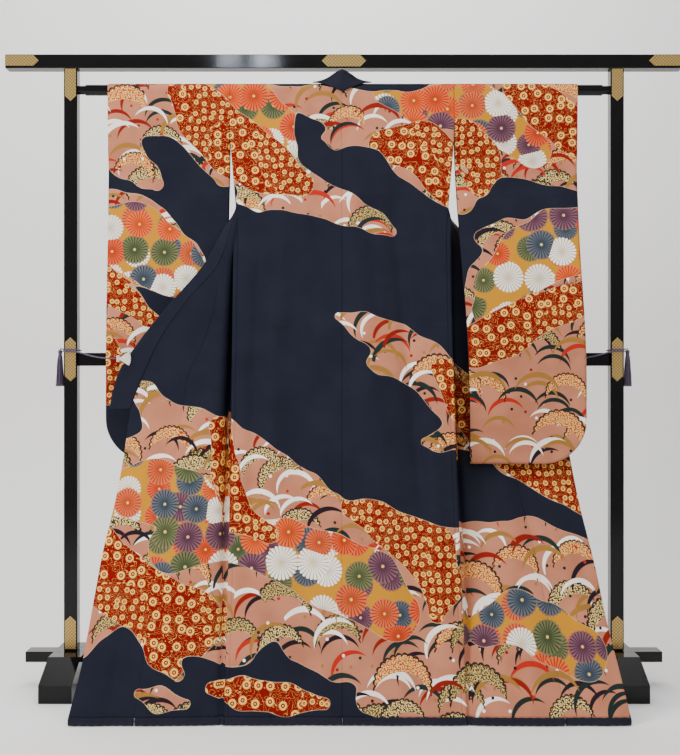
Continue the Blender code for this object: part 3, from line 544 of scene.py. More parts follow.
def sleeve_point(side, u, rise, layer):
    """A point of a sleeve: layer is 1 on the near wall and -1 on the far wall."""
    inner_top, inner_low, outer_top, outer_low, bottom, corner, swing = SLEEVES[side]
    level = lerp(bottom, POLE_Z, rise)
    low = 1 - ease(*SETBACK_SPAN, level)
    inner = lerp(inner_low, inner_top, ease(*BODY_EDGE_SPAN, level))
    outer = lerp(outer_top, outer_low, ease(*CUFF_EDGE_SPAN, level))
    x = lerp(inner, outer, u)
    from_edge = abs(outer_low - x)
    lift = corner - math.sqrt(corner ** 2 - (corner - from_edge) ** 2) if from_edge < corner else 0.0
    z = lerp(bottom + lift, POLE_Z, rise)
    open_cuff = ease(CUFF_Z, CUFF_Z + CUFF_FADE, z)
    side_round = lerp(rounded((1 - u) * abs(outer - inner)), 1.0, open_cuff)
    bottom_round = rounded(z - bottom - lift)
    half = lerp(CLOTH_RADIUS, SLEEVE_GAP / 2, ease(*CLOSING_SPAN, z)) * side_round * bottom_round
    centre = swing * ease(*SWING_SPAN, z) - SETBACK * low
    belly = BILLOW * ease(*BILLOW_SPAN, z) * side_round * bottom_round
    wave = belly * math.sin(math.pi * (1.5 * u + 0.3))
    return place(x, centre + layer * half + wave, z)


def spread(low, high, count):
    """Evenly spaced values, ends included."""
    return [lerp(low, high, k / count) for k in range(count + 1)]


def rework(mesh, change):
    """Edit a mesh in place."""
    cloth = bmesh.new()
    cloth.from_mesh(mesh)
    change(cloth)
    cloth.to_mesh(mesh)
    cloth.free()


def mesh_points(mesh):
    """A mesh's points as rows of an array."""
    places = np.empty(len(mesh.vertices) * 3)
    mesh.vertices.foreach_get("co", places)
    return places.reshape(-1, 3)


def cloth_mesh(name, columns, rows, drape, mirrored, weld):
    """A grid of cloth, its points set by drape(column, row), facing away from its lining."""
    points = [drape(u, v) for v in rows for u in columns]
    width = len(columns)
    faces = []
    for j in range(len(rows) - 1):
        for i in range(width - 1):
            a = j * width + i
            ring = (a, a + 1, a + 1 + width, a + width)
            faces.append(ring[::-1] if mirrored else ring)
    mesh = bpy.data.meshes.new(name)
    mesh.from_pydata([tuple(point) for point in points], [], faces)
    if weld:
        rework(mesh, lambda cloth: bmesh.ops.remove_doubles(cloth, verts=cloth.verts, dist=WELD))
    mesh.shade_smooth()
    return mesh


# ---------------------------------------------------------------- the dyed clouds
# Each cloud is a few tapering arms that melt into one another. A vertex stores its signed
# distance to the edge of the dyed area, to the red and to the mustard inside it, and the
# silk reads these to lay its colours, so every edge stays sharp between the vertices.
CLOUDS = [  # pieces, then the arms of the clouds on them: x, z, radius along each
    ("all", [(-0.70, 1.64, 0.10), (-0.55, 1.66, 0.09), (-0.42, 1.64, 0.09), (-0.33, 1.57, 0.10),
             (-0.24, 1.48, 0.085), (-0.12, 1.40, 0.055), (0.00, 1.35, 0.045), (0.09, 1.31, 0.028),
             (0.135, 1.285, 0.012)]),
    ("sleeve", [(-0.69, 1.56, 0.05), (-0.62, 1.50, 0.05), (-0.56, 1.45, 0.035), (-0.53, 1.425, 0.018)]),
    ("sleeve", [(-0.42, 1.60, 0.06), (-0.36, 1.50, 0.045), (-0.345, 1.44, 0.02)]),
    ("body", [(-0.15, 1.40, 0.04), (-0.24, 1.37, 0.025), (-0.29, 1.375, 0.010)]),
    ("all", [(-0.37, 1.70, 0.06), (-0.27, 1.67, 0.060), (-0.19, 1.60, 0.045), (-0.165, 1.53, 0.03)]),
    ("sleeve", [(-0.69, 1.27, 0.09), (-0.58, 1.26, 0.11), (-0.48, 1.19, 0.085), (-0.42, 1.13, 0.045),
                (-0.40, 1.09, 0.02)]),
    ("sleeve", [(-0.60, 1.33, 0.05), (-0.665, 1.36, 0.05)]),
    ("sleeve", [(-0.68, 1.10, 0.06), (-0.62, 1.05, 0.065), (-0.56, 1.01, 0.05), (-0.51, 0.99, 0.03)]),
    ("sleeve", [(-0.68, 0.99, 0.05), (-0.64, 0.93, 0.045), (-0.655, 0.86, 0.030), (-0.665, 0.81, 0.012)]),
    ("sleeve", [(-0.50, 0.75, 0.03), (-0.42, 0.72, 0.05), (-0.36, 0.66, 0.05)]),
    ("body", [(-0.19, 1.68, 0.016), (-0.08, 1.66, 0.045), (0.02, 1.63, 0.055)]),
    ("all", [(0.02, 1.63, 0.055), (0.13, 1.60, 0.085), (0.22, 1.57, 0.11), (0.33, 1.64, 0.10),
             (0.46, 1.64, 0.10), (0.58, 1.58, 0.075), (0.67, 1.52, 0.06), (0.73, 1.46, 0.05)]),
    ("body", [(0.04, 1.57, 0.035), (-0.02, 1.55, 0.025), (-0.055, 1.555, 0.010)]),
    ("all", [(0.22, 1.50, 0.085), (0.29, 1.42, 0.055), (0.335, 1.37, 0.035)]),
    ("sleeve", [(0.38, 1.55, 0.05), (0.40, 1.46, 0.035), (0.395, 1.41, 0.020)]),
    ("sleeve", [(0.70, 1.69, 0.09), (0.62, 1.68, 0.09)]),
    ("all", [(0.34, 1.56, 0.06), (0.50, 1.52, 0.06)]),
    ("sleeve", [(0.70, 1.43, 0.035), (0.58, 1.46, 0.035), (0.47, 1.47, 0.016)]),
    ("sleeve", [(0.72, 1.27, 0.09), (0.60, 1.25, 0.10), (0.49, 1.21, 0.09), (0.42, 1.14, 0.075),
                (0.38, 1.05, 0.06)]),
    ("sleeve", [(0.46, 1.28, 0.04), (0.385, 1.27, 0.02)]),
    ("sleeve", [(0.70, 1.08, 0.07), (0.58, 1.03, 0.11), (0.46, 0.97, 0.12), (0.38, 0.90, 0.08),
                (0.52, 0.80, 0.13), (0.66, 0.76, 0.13)]),
    ("sleeve", [(0.40, 0.70, 0.12), (0.56, 0.70, 0.12), (0.72, 0.84, 0.12), (0.72, 0.98, 0.10)]),
    ("body", [(-0.015, 1.045, 0.012), (0.05, 1.02, 0.035), (0.14, 0.97, 0.055), (0.22, 0.91, 0.065),
              (0.30, 0.83, 0.07), (0.38, 0.74, 0.06), (0.48, 0.66, 0.06), (0.60, 0.60, 0.065),
              (0.72, 0.52, 0.055), (0.80, 0.47, 0.05)]),
    ("body", [(0.16, 0.92, 0.04), (0.10, 0.91, 0.022), (0.075, 0.915, 0.010)]),
    ("body", [(0.33, 0.72, 0.04), (0.26, 0.70, 0.024), (0.22, 0.70, 0.010)]),
    ("body", [(0.55, 0.66, 0.04), (0.66, 0.68, 0.03), (0.74, 0.67, 0.015)]),
    ("body", [(-0.60, 0.86, 0.012), (-0.55, 0.83, 0.030), (-0.50, 0.76, 0.05), (-0.42, 0.72, 0.07),
              (-0.36, 0.64, 0.085), (-0.42, 0.54, 0.12), (-0.50, 0.44, 0.12), (-0.48, 0.33, 0.11),
              (-0.40, 0.26, 0.09), (-0.30, 0.20, 0.06)]),
    ("body", [(-0.62, 0.55, 0.09), (-0.60, 0.40, 0.09), (-0.64, 0.28, 0.07), (-0.70, 0.20, 0.05),
              (-0.76, 0.14, 0.03)]),
    ("body", [(-0.50, 0.25, 0.05), (-0.47, 0.17, 0.035), (-0.42, 0.12, 0.014)]),
    ("body", [(-0.46, 0.70, 0.04), (-0.56, 0.68, 0.03), (-0.61, 0.685, 0.012)]),
    ("body", [(-0.385, 0.735, 0.012), (-0.33, 0.725, 0.035), (-0.26, 0.67, 0.05), (-0.18, 0.62, 0.045),
              (-0.09, 0.575, 0.035), (-0.03, 0.55, 0.014)]),
    ("body", [(-0.30, 0.55, 0.08), (-0.18, 0.48, 0.07), (-0.06, 0.46, 0.08), (0.06, 0.46, 0.085),
              (0.17, 0.42, 0.08), (0.24, 0.35, 0.09), (0.33, 0.28, 0.09)]),
    ("body", [(-0.26, 0.45, 0.09), (-0.14, 0.36, 0.12), (0.00, 0.30, 0.14), (0.14, 0.24, 0.13),
              (0.26, 0.18, 0.12), (0.38, 0.13, 0.09)]),
    ("body", [(-0.24, 0.34, 0.07), (-0.22, 0.24, 0.05), (-0.25, 0.17, 0.02)]),
    ("body", [(-0.10, 0.20, 0.06), (-0.02, 0.14, 0.035), (0.05, 0.11, 0.014)]),
    ("body", [(0.24, 0.42, 0.05), (0.36, 0.43, 0.05), (0.50, 0.42, 0.07), (0.62, 0.36, 0.08),
              (0.72, 0.28, 0.08), (0.76, 0.18, 0.08)]),
    ("body", [(0.42, 0.34, 0.09), (0.50, 0.26, 0.12), (0.60, 0.18, 0.12), (0.50, 0.12, 0.10)]),
    ("body", [(-0.34, 0.085, 0.014), (-0.26, 0.075, 0.035), (-0.15, 0.060, 0.035), (-0.05, 0.050, 0.014)]),
    ("body", [(-0.52, 0.075, 0.012), (-0.47, 0.060, 0.026), (-0.40, 0.050, 0.012)]),
    ("body", [(-0.62, 0.64, 0.05), (-0.48, 0.62, 0.07)]),
    ("body", [(-0.40, 0.42, 0.06), (-0.30, 0.36, 0.07)]),
    ("body", [(0.06, 0.06, 0.03), (0.20, 0.05, 0.07), (0.36, 0.02, 0.09), (0.55, 0.02, 0.10),
              (0.80, 0.04, 0.10)]),
]
RED_CLOUDS = [
    ("all", [(-0.45, 1.69, 0.05), (-0.40, 1.62, 0.075), (-0.31, 1.53, 0.085), (-0.22, 1.47, 0.075),
             (-0.12, 1.42, 0.035)]),
    ("sleeve", [(-0.70, 1.16, 0.05), (-0.63, 1.11, 0.04), (-0.55, 1.05, 0.03), (-0.48, 1.03, 0.02)]),
    ("sleeve", [(-0.67, 0.96, 0.035), (-0.65, 0.90, 0.035), (-0.66, 0.82, 0.025)]),
    ("body", [(0.12, 1.53, 0.05), (0.22, 1.53, 0.07), (0.30, 1.45, 0.075), (0.36, 1.36, 0.06)]),
    ("sleeve", [(0.33, 1.55, 0.06), (0.38, 1.50, 0.06), (0.40, 1.43, 0.05)]),
    ("sleeve", [(0.50, 1.70, 0.05), (0.58, 1.63, 0.06), (0.66, 1.57, 0.06), (0.74, 1.52, 0.05)]),
    ("sleeve", [(0.36, 0.96, 0.06), (0.45, 1.00, 0.065), (0.53, 1.05, 0.055), (0.62, 1.08, 0.05),
                (0.72, 1.12, 0.04)]),
    ("body", [(0.27, 0.90, 0.03), (0.33, 0.80, 0.045), (0.42, 0.70, 0.055), (0.54, 0.62, 0.06),
              (0.66, 0.56, 0.06), (0.80, 0.48, 0.06)]),
    ("body", [(-0.66, 0.42, 0.06), (-0.60, 0.34, 0.08), (-0.50, 0.28, 0.08), (-0.40, 0.24, 0.08),
              (-0.46, 0.16, 0.06)]),
    ("body", [(-0.34, 0.74, 0.03), (-0.32, 0.62, 0.035), (-0.28, 0.50, 0.035), (-0.20, 0.46, 0.025)]),
    ("body", [(0.02, 0.53, 0.03), (0.12, 0.49, 0.06), (0.22, 0.42, 0.07), (0.26, 0.33, 0.05),
              (0.24, 0.26, 0.02)]),
    ("body", [(-0.34, 0.085, 0.05), (-0.04, 0.050, 0.05)]),
]
MUSTARD_CLOUDS = [
    ("all", [(-0.36, 1.70, 0.05), (-0.27, 1.66, 0.065), (-0.19, 1.59, 0.055), (-0.16, 1.52, 0.035)]),
    ("sleeve", [(-0.70, 1.28, 0.08), (-0.60, 1.27, 0.10), (-0.50, 1.20, 0.09), (-0.42, 1.12, 0.06)]),
    ("all", [(0.12, 1.69, 0.04), (0.24, 1.64, 0.06), (0.35, 1.65, 0.075), (0.45, 1.60, 0.07),
             (0.54, 1.52, 0.05)]),
    ("sleeve", [(0.74, 1.28, 0.09), (0.62, 1.26, 0.10), (0.52, 1.21, 0.09), (0.44, 1.13, 0.07),
                (0.40, 1.06, 0.045)]),
    ("body", [(-0.62, 0.56, 0.06), (-0.52, 0.57, 0.08), (-0.43, 0.54, 0.08), (-0.36, 0.46, 0.07),
              (-0.46, 0.42, 0.06)]),
    ("body", [(-0.26, 0.44, 0.06), (-0.16, 0.42, 0.075), (-0.05, 0.37, 0.09), (0.06, 0.33, 0.09),
              (0.13, 0.26, 0.065)]),
    ("body", [(0.36, 0.22, 0.04), (0.45, 0.25, 0.06), (0.53, 0.21, 0.065), (0.62, 0.16, 0.06)]),
]
MELT = 0.045                          # how far neighbouring arms run together
ARM_MELT = 0.02                       # and the pieces of one arm
FAR_OFF = 9.0


def arm_distance(points, arm):
    """Signed distance to one tapering arm, minus inside."""
    field = np.full(len(points), FAR_OFF)
    for (ax, az, ar), (bx, bz, br) in zip(arm, arm[1:]):
        run = np.array((bx - ax, bz - az))
        share = np.clip(((points - (ax, az)) @ run) / (run @ run), 0, 1)
        reach = np.linalg.norm(points - (ax, az) - share[:, None] * run, axis=1)
        field = melt(field, reach - (ar + (br - ar) * share), ARM_MELT)
    return field


def melt(first, second, width):
    """Union of two distance fields with a soft fillet."""
    mix = np.clip(0.5 + 0.5 * (second - first) / width, 0, 1)
    return second + (first - second) * mix - width * mix * (1 - mix)


def cloud_field(points, table, kind):
    """All the arms on one kind of piece together."""
    field = np.full(len(points), FAR_OFF)
    for pieces, arm in table:
        if pieces in (kind, "all"):
            field = melt(field, arm_distance(points, arm), MELT)
    return field


def dye(mesh, flat, kind="body"):
    """Store the print's place and its three distances on every vertex."""
    points = np.array(flat, dtype=float)
    where = mesh.attributes.new("print_place", "FLOAT_VECTOR", "POINT")
    level = np.column_stack([points, np.zeros(len(points))])
    where.data.foreach_set("vector", level.astype(np.float32).ravel())
    for name, table in (("cloud", CLOUDS), ("red", RED_CLOUDS), ("mustard", MUSTARD_CLOUDS)):
        stored = mesh.attributes.new(name, "FLOAT", "POINT")
        stored.data.foreach_set("value", cloud_field(points, table, kind).astype(np.float32))


# ---------------------------------------------------------------- dyed motifs
# Each fill is a group that returns colours and masks: bent blades, speckled arcs and drops
# on pink, ring flowers in gold on red, and packed chrysanthemums on mustard.
def vector_calc(operation, first, second):
    """A Vector Math node; the second operand is a socket or a plain triple."""
    return add_node(first.id_data, "ShaderNodeVectorMath", {0: first, 1: second},
                    operation=operation).outputs[0]


def step_mask(value, low, high):
    """0 below low and 1 above high, whichever way round they are."""
    return add_node(value.id_data, "ShaderNodeMapRange",
                    {"Value": value, "From Min": low, "From Max": high}).outputs["Result"]


def scaled_place(start):
    """A group's vector times its scale."""
    spot, scale = start.outputs["Vector"], start.outputs["Scale"]
    return add_node(start.id_data, "ShaderNodeVectorMath", {0: spot, "Scale": scale},
                    operation="SCALE").outputs[0]


def cells(start, randomness):
    """Voronoi cells: the offset from the cell's middle, a random number and a second one."""
    tree, vector = start.id_data, scaled_place(start)
    made = add_node(tree, "ShaderNodeTexVoronoi", {"Vector": vector, "Scale": 1.0, "Randomness": randomness},
                    voronoi_dimensions="2D")
    offset = vector_calc("SUBTRACT", vector, made.outputs["Position"])
    flat = add_node(tree, "ShaderNodeSeparateXYZ", {0: offset}).outputs
    random = add_node(tree, "ShaderNodeSeparateColor", {0: made.outputs["Color"]}).outputs
    return flat["X"], flat["Y"], random["Red"], random["Green"]


def polar(x, y):
    """Distance and angle of an offset."""
    return calc("SQRT", plus(times(x, x), times(y, y))), calc("ARCTAN2", y, x)


def palette(factor, colours):
    """Pick one flat colour by a random number."""
    ramp = add_node(factor.id_data, "ShaderNodeValToRGB", {0: factor})
    ramp.color_ramp.interpolation = "CONSTANT"
    while len(ramp.color_ramp.elements) < len(colours):
        ramp.color_ramp.elements.new(0.5)
    for k, colour in enumerate(colours):
        ramp.color_ramp.elements[k].position = k / len(colours)
        ramp.color_ramp.elements[k].color = (*colour, 1)
    return ramp.outputs[0]


CHRYSANTHEMUMS = [(0.62, 0.058, 0.008), (0.96, 0.88, 0.75), (0.070, 0.098, 0.040), (0.110, 0.040, 0.075),
                  (0.56, 0.080, 0.022), (0.68, 0.078, 0.010), (0.88, 0.80, 0.68), (0.60, 0.055, 0.012),
                  (0.045, 0.070, 0.100), (0.088, 0.110, 0.045)]
BLADES = [(0.96, 0.89, 0.79), (0.42, 0.016, 0.006), (0.010, 0.020, 0.018), (0.30, 0.140, 0.026),
          (0.014, 0.008, 0.014), (0.22, 0.009, 0.005), (0.88, 0.80, 0.70), (0.012, 0.022, 0.020)]
SPECKLED_GROUNDS = [(0.020, 0.016, 0.012), (0.52, 0.36, 0.12), (0.42, 0.045, 0.015)]
SPECKLES = [(0.76, 0.54, 0.20), (0.026, 0.018, 0.010), (0.78, 0.50, 0.14)]
SPECKLES_PER_METRE = 250.0
CREST = (0.018, 0.013, 0.012, 1)
PETALS = 24
SCALLOPS = (28, 0.6)                  # round a full circle, and how blunt they are
ARC_RISE = 0.16                       # an arc's centre below the middle of its cell
ARC_SHIFT = 0.03                      # the inner circle's, to one side
SOFT = 0.004                          # half width of an arc's edges


def ripple(angle, count, power):
    """Rounded bumps round a circle, from 0 in the notches to 1."""
    return calc("POWER", calc("ABSOLUTE", calc("SINE", times(angle, count / 2))), power)


def new_motif(name, randomness):
    """The start and end of a motif's group, and what its cells give."""
    start, end = new_group(name, dict(Vector="Vector", Scale="Float", Cover="Float"),
                           dict(Colour="Color", Mask="Float"))
    return (start, end, *cells(start, randomness))


def close_motif(start, end, colour, inside, pick, key):
    """Send out a motif's colour, and its mask on the share of cells that Cover asks for."""
    link(colour, end.inputs["Colour"])
    chosen = calc("LESS_THAN", calc("FRACT", times(pick, key)), start.outputs["Cover"])
    link(times(inside, chosen), end.inputs["Mask"])
    return end.id_data


def chrysanthemum_group():
    """Packed chrysanthemum heads of narrow petals, one colour to a head."""
    start, end, x, y, pick, other = new_motif("chrysanthemums", 0.50)
    reach, angle = polar(x, y)
    share = calc("DIVIDE", reach, plus(times(other, 0.08), 0.43))
    rim = minus(share, plus(times(ripple(angle, PETALS, 0.7), 0.13), 0.88))
    petal = palette(pick, CHRYSANTHEMUMS)
    ridge = times(ripple(angle, PETALS, 2.0), step_mask(share, 0.25, 1.0))
    lit = blend(times(ridge, 0.13), petal, (0.95, 0.58, 0.30, 1))
    split = step_mask(ripple(angle, PETALS, 1.0), 0.62, 0.12)
    shaded = vector_calc("MULTIPLY", petal, (0.30, 0.22, 0.18))
    lined = blend(times(split, 0.95), lit, shaded)
    lined = blend(times(step_mask(share, 0.50, 0.05), 0.45), lined, shaded)
    star = minus(share, times(ripple(angle, 10, 0.8), 0.06))
    head = blend(step_mask(star, 0.060, 0.035), lined, (0.74, 0.50, 0.12, 1))
    return close_motif(start, end, head, step_mask(rim, 0.012, -0.012), pick, 7.31)


def arc_mask(x, y, radius, lower_radius, drop, bulge=None):
    """A crescent: inside one circle and outside a wider one set lower."""
    upper, angle = polar(x, plus(y, ARC_RISE))
    if bulge:
        upper = minus(upper, times(ripple(angle, *bulge), 0.030))
    lower, _ = polar(minus(x, ARC_SHIFT), plus(y, ARC_RISE + drop))
    inside = step_mask(upper, radius + SOFT, radius - SOFT)
    return times(inside, step_mask(lower, lower_radius - SOFT, lower_radius + SOFT)), upper


def lean(x, y, random, swing):
    """The offset turned by a random lean."""
    turn = times(minus(random, 0.5), swing)
    cosine, sine = calc("COSINE", turn), calc("SINE", turn)
    return minus(times(x, cosine), times(y, sine)), plus(times(x, sine), times(y, cosine))


def blade_group():
    """Bent grass blades: thin crescents, each leaning its own way."""
    start, end, x, y, pick, other = new_motif("bent_blades", 0.60)
    crescent, _ = arc_mask(*lean(x, y, other, 1.2), 0.42, 0.47, 0.145)
    return close_motif(start, end, palette(pick, BLADES), crescent, pick, 5.17)


def speckled_group():
    """Thick arcs of stippled gold with a scalloped crest, like clipped pines on a hill."""
    start, end, x, y, pick, other = new_motif("speckled_arcs", 0.75)
    arc, upper = arc_mask(*lean(x, y, other, 0.9), 0.37, 0.40, 0.235, SCALLOPS)
    grains = add_node(start.id_data, "ShaderNodeTexVoronoi",
                      {"Vector": start.outputs["Vector"], "Scale": SPECKLES_PER_METRE},
                      voronoi_dimensions="2D")
    dots = step_mask(grains.outputs["Distance"], 0.46, 0.36)
    stippled = blend(dots, palette(other, SPECKLED_GROUNDS), palette(other, SPECKLES))
    crested = blend(step_mask(upper, 0.338, 0.346), stippled, CREST)
    return close_motif(start, end, crested, arc, pick, 3.71)


def drop_group():
    """Single round drops."""
    start, end, x, y, pick, other = new_motif("drops", 0.9)
    reach, _ = polar(x, y)
    return close_motif(start, end, palette(other, BLADES[::-1]), step_mask(reach, 0.108, 0.098), pick, 9.13)


VINE_TURNS = 6.0                      # lines of vine over the full range of their noise


def gilt_flower_group():
    """Gold flowers with a ring heart and sixteen small petals, vines curling between them."""
    start, end = new_group("gilt_flowers", dict(Vector="Vector", Scale="Float"), dict(Gold="Float"))
    x, y, pick, _ = cells(start, 0.55)
    reach, angle = polar(x, y)
    edge = plus(times(ripple(plus(angle, pick), 16, 0.5), 0.100), 0.220)
    heart = times(step_mask(reach, 0.055, 0.070), step_mask(reach, 0.165, 0.150))
    flower = minus(step_mask(minus(reach, edge), 0.012, -0.012), heart)
    phase = calc("FRACT", times(noise(scaled_place(start), 1.9, 1.0), VINE_TURNS))
    curl = step_mask(calc("ABSOLUTE", minus(phase, 0.5)), 0.040, 0.022)
    clear = step_mask(minus(reach, edge), 0.035, 0.050)
    link(calc("MAXIMUM", flower, times(curl, clear), clamp=True), end.inputs["Gold"])
    return end.id_data


def silk_grain_group():
    """Crinkled weave of crepe silk: a fine height and a broad unevenness."""
    start, end = new_group("crepe_grain", dict(Vector="Vector"), dict(Height="Float", Broad="Float"))
    link(noise(start.outputs["Vector"], 750.0, 2.0, Roughness=0.6), end.inputs["Height"])
    link(noise(start.outputs["Vector"], 9.0, 4.0, Roughness=0.6), end.inputs["Broad"])
    return end.id_data


chrysanthemums = chrysanthemum_group()
bent_blades = blade_group()
speckled_arcs = speckled_group()
drops = drop_group()
gilt_flowers = gilt_flower_group()
crepe_grain = silk_grain_group()


def attribute(tree, name, output="Fac"):
    """A stored vertex attribute."""
    return add_node(tree, "ShaderNodeAttribute", attribute_name=name).outputs[output]


# ---------------------------------------------------------------- printed silk
# Navy crepe; inside the cloud edge a pink ground of blades and speckled arcs, crossed by
# red bands of gold flowers and mustard fields of chrysanthemums, each edged in gold.
GILT = (0.98, 0.56, 0.12, 1)
NAVY_DEEP = (0.0085, 0.0096, 0.0178, 1)
NAVY_WORN = (0.0112, 0.0126, 0.0222, 1)
RESIST = (0.62, 0.42, 0.26, 1)        # lines left between the colours
RESIST_HALF = 0.0006
RESIST_SHARE = 0.6
FIELD_SOFT = 0.0004
printed, tree, shader = new_material("printed_silk", Roughness=0.60, Specular_IOR_Level=0.16,
                                     Sheen_Weight=0.04, Sheen_Roughness=0.45)
print_place = attribute(tree, "print_place", "Vector")
waver = times(minus(noise(print_place, 12.0, 1.0), 0.5), 0.012)
cloud, red, mustard = [plus(attribute(tree, name), waver) for name in ("cloud", "red", "mustard")]


def fill(ground, field, colour):
    """Lay a colour inside a field, and the resist line round it."""
    inside = blend(step_mask(field, FIELD_SOFT, -FIELD_SOFT), ground, colour)
    outline = calc("LESS_THAN", calc("ABSOLUTE", field), RESIST_HALF)
    return blend(times(outline, RESIST_SHARE), inside, RESIST)


def worn_navy(grain):
    """Navy a little paler where the silk is worn."""
    return blend(step_mask(grain.outputs["Broad"], 0.35, 0.65), NAVY_DEEP, NAVY_WORN)


pink = blend(step_mask(noise(print_place, 9.0, 2.0), 0.38, 0.62), (0.400, 0.146, 0.079, 1),
             (0.485, 0.186, 0.106, 1))
PINK_LAYERS = [  # motif, cells a metre, share of cells filled, shift of the layout
    (bent_blades, 8.2, 1.00, 0.17), (bent_blades, 9.2, 0.75, 0.47), (speckled_arcs, 6.2, 0.46, 0.61),
    (bent_blades, 7.8, 0.85, 0.00), (speckled_arcs, 6.6, 0.54, 0.23), (bent_blades, 7.2, 0.80, 0.37),
    (drops, 26.0, 0.34, 0.51), (bent_blades, 6.6, 0.62, 0.71), (speckled_arcs, 5.2, 0.46, 0.93),
    (bent_blades, 8.6, 0.45, 0.13),
]
for motif, per_metre, cover, shift in PINK_LAYERS:
    moved = vector_calc("ADD", print_place, (shift, shift * 0.6, 0.0))
    laid = layer(motif, moved, Scale=per_metre, Cover=cover)
    pink = blend(laid.outputs["Mask"], pink, laid.outputs["Colour"])

small_gold = layer(gilt_flowers, print_place, Scale=45.0).outputs["Gold"]
large_gold = layer(gilt_flowers, vector_calc("ADD", print_place, (0.4, 0.2, 0.0)), Scale=29.0).outputs["Gold"]
choice = step_mask(noise(print_place, 4.0, 0.0), 0.48, 0.49)
gilt = plus(times(large_gold, choice), times(small_gold, minus(1.0, choice)))
red_field = blend(times(gilt, 0.90), (0.185, 0.0028, 0.0006, 1), GILT)

mustard_field = (0.500, 0.215, 0.010, 1)
below = vector_calc("ADD", print_place, (0.21, 0.47, 0.0))
for heads in (layer(chrysanthemums, below, Scale=12.5, Cover=1.0),
              layer(chrysanthemums, print_place, Scale=11.6, Cover=0.86)):
    mustard_field = blend(heads.outputs["Mask"], mustard_field, heads.outputs["Colour"])

grain = layer(crepe_grain, print_place)
dyed = fill(fill(pink, mustard, mustard_field), red, red_field)
surface = fill(worn_navy(grain), cloud, dyed)
wire(shader, Base_Color=surface, Sheen_Tint=surface)
emboss(shader, grain.outputs["Height"], 0.35, 0.0004)

# ---------------------------------------------------------------- linings
# The body is lined in a pale grey silk that yellows a little with age; its lowest part,
# the sleeves and every turned edge in the navy of the ground.
pale_lining, tree, shader = new_material("pale_lining", Roughness=0.6, Specular_IOR_Level=0.16,
                                         Sheen_Weight=0.06)
where = attribute(tree, "print_place", "Vector")
grain = layer(crepe_grain, where)
height = add_node(tree, "ShaderNodeSeparateXYZ", {0: where}).outputs["Y"]
tone = blend(step_mask(grain.outputs["Broad"], 0.3, 0.7), (0.50, 0.50, 0.49, 1), (0.60, 0.59, 0.56, 1))
wire(shader, Base_Color=blend(step_mask(height, 0.63, 0.61), tone, (0.0165, 0.0190, 0.0350, 1)))
emboss(shader, grain.outputs["Height"], 0.2, 0.0003)

navy_silk, tree, shader = new_material("navy_silk", Roughness=0.6, Specular_IOR_Level=0.16, Sheen_Weight=0.04)
grain = layer(crepe_grain, attribute(tree, "print_place", "Vector"))
wire(shader, Base_Color=worn_navy(grain))
emboss(shader, grain.outputs["Height"], 0.35, 0.0004)

# ---------------------------------------------------------------- the sewn widths
# Two backs, two fronts with their overlaps and two sleeves, each a lined shell that
# turns in a little at its seams, so a thin shadow runs down every join.
WALL = 0.0016
BAND_WALL = 0.0030                    # the folded collar
CLOTH_STEP = 0.0062                   # spacing of the grid
SEAM_DIP = 0.0011
SEAM_WIDTH = 0.004
CREASES = [  # z, height, half width
    (0.470, 0.0020, 0.0045), (1.020, 0.0012, 0.0040), (1.395, 0.0010, 0.0040),
]
CREASE_FADE = 0.05                    # creases die out this close to an edge
FLAT_SEAMS = (1.05, 1.2)              # a front's seams turn in no more above these levels
HANDS = ((-1, "left"), (1, "right"))


def steps(length):
    """How many grid cells cover a length."""
    return max(2, round(length / CLOTH_STEP))


def turned_in(u, width):
    """How far the cloth dips at the seams at its two edges."""
    near = min(u, 1 - u) * width
    return SEAM_DIP * (1 - ease(0.0, SEAM_WIDTH, near))


def folded_once(z):
    """Faint level creases left from when the garment lay folded."""
    return sum(height * math.exp(-((z - level) / half) ** 2) for level, height, half in CREASES)


def edge_columns(count):
    """Even columns with two more beside each edge, for the turn at the seam."""
    inner = spread(0.0, 1.0, count)
    return [0.0, 0.006, 0.013] + inner[1:-1] + [0.987, 0.994, 1.0]


def evaluated_mesh(piece):
    """The mesh that an object's modifiers make."""
    bpy.context.view_layer.update()
    return bpy.data.meshes.new_from_object(piece.evaluated_get(bpy.context.evaluated_depsgraph_get()))


def add_cloth(node, columns, rows, drape, mirrored=False, weld=False, thickness=WALL,
              outer=printed, lining=pale_lining, dyed_at=None):
    """Drape and dye a width, give it its wall and lining, and let it stand for its node."""
    mesh = cloth_mesh(node, columns, rows, drape, mirrored, weld)
    places = mesh_points(mesh)
    dye(mesh, dyed_at or places[:, (0, 2)], "sleeve" if node.startswith("sleeve") else "body")
    for material in (outer, lining, navy_silk):
        mesh.materials.append(material)
    piece = new_object("silk_" + node, mesh)
    wall = piece.modifiers.new("wall", "SOLIDIFY")
    wall.thickness = thickness
    wall.offset = 0.0
    wall.material_offset = 1
    wall.material_offset_rim = 2
    solid = evaluated_mesh(piece)
    piece.modifiers.remove(wall)
    piece.data = solid
    bpy.data.meshes.remove(mesh)
    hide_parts(node)
    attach(piece, "root")


def over_pole(x, facing, angle):
    """A point of the cloth round the pole; facing is 1 ahead of the posts and -1 behind."""
    return place(x, facing * CLOTH_RADIUS * math.cos(angle), POLE_Z + CLOTH_RADIUS * math.sin(angle))


def back_drape(side):
    """The point rule of one back width."""
    def drape(u, z):
        if z <= POLE_Z:
            point = back_point(lerp(BODY_X, side_x(side, z), u), z)
            point.y += turned_in(u, 0.30) - folded_once(z) * ease(0.0, CREASE_FADE, z)
            return point
        angle = (z - POLE_Z) * math.pi / 2 * TOP_TURN
        neck = BODY_X + side * NECK_HALF * math.sin(angle) ** 0.8
        return over_pole(lerp(neck, side_x(side, POLE_Z), u), 1, angle)
    return drape


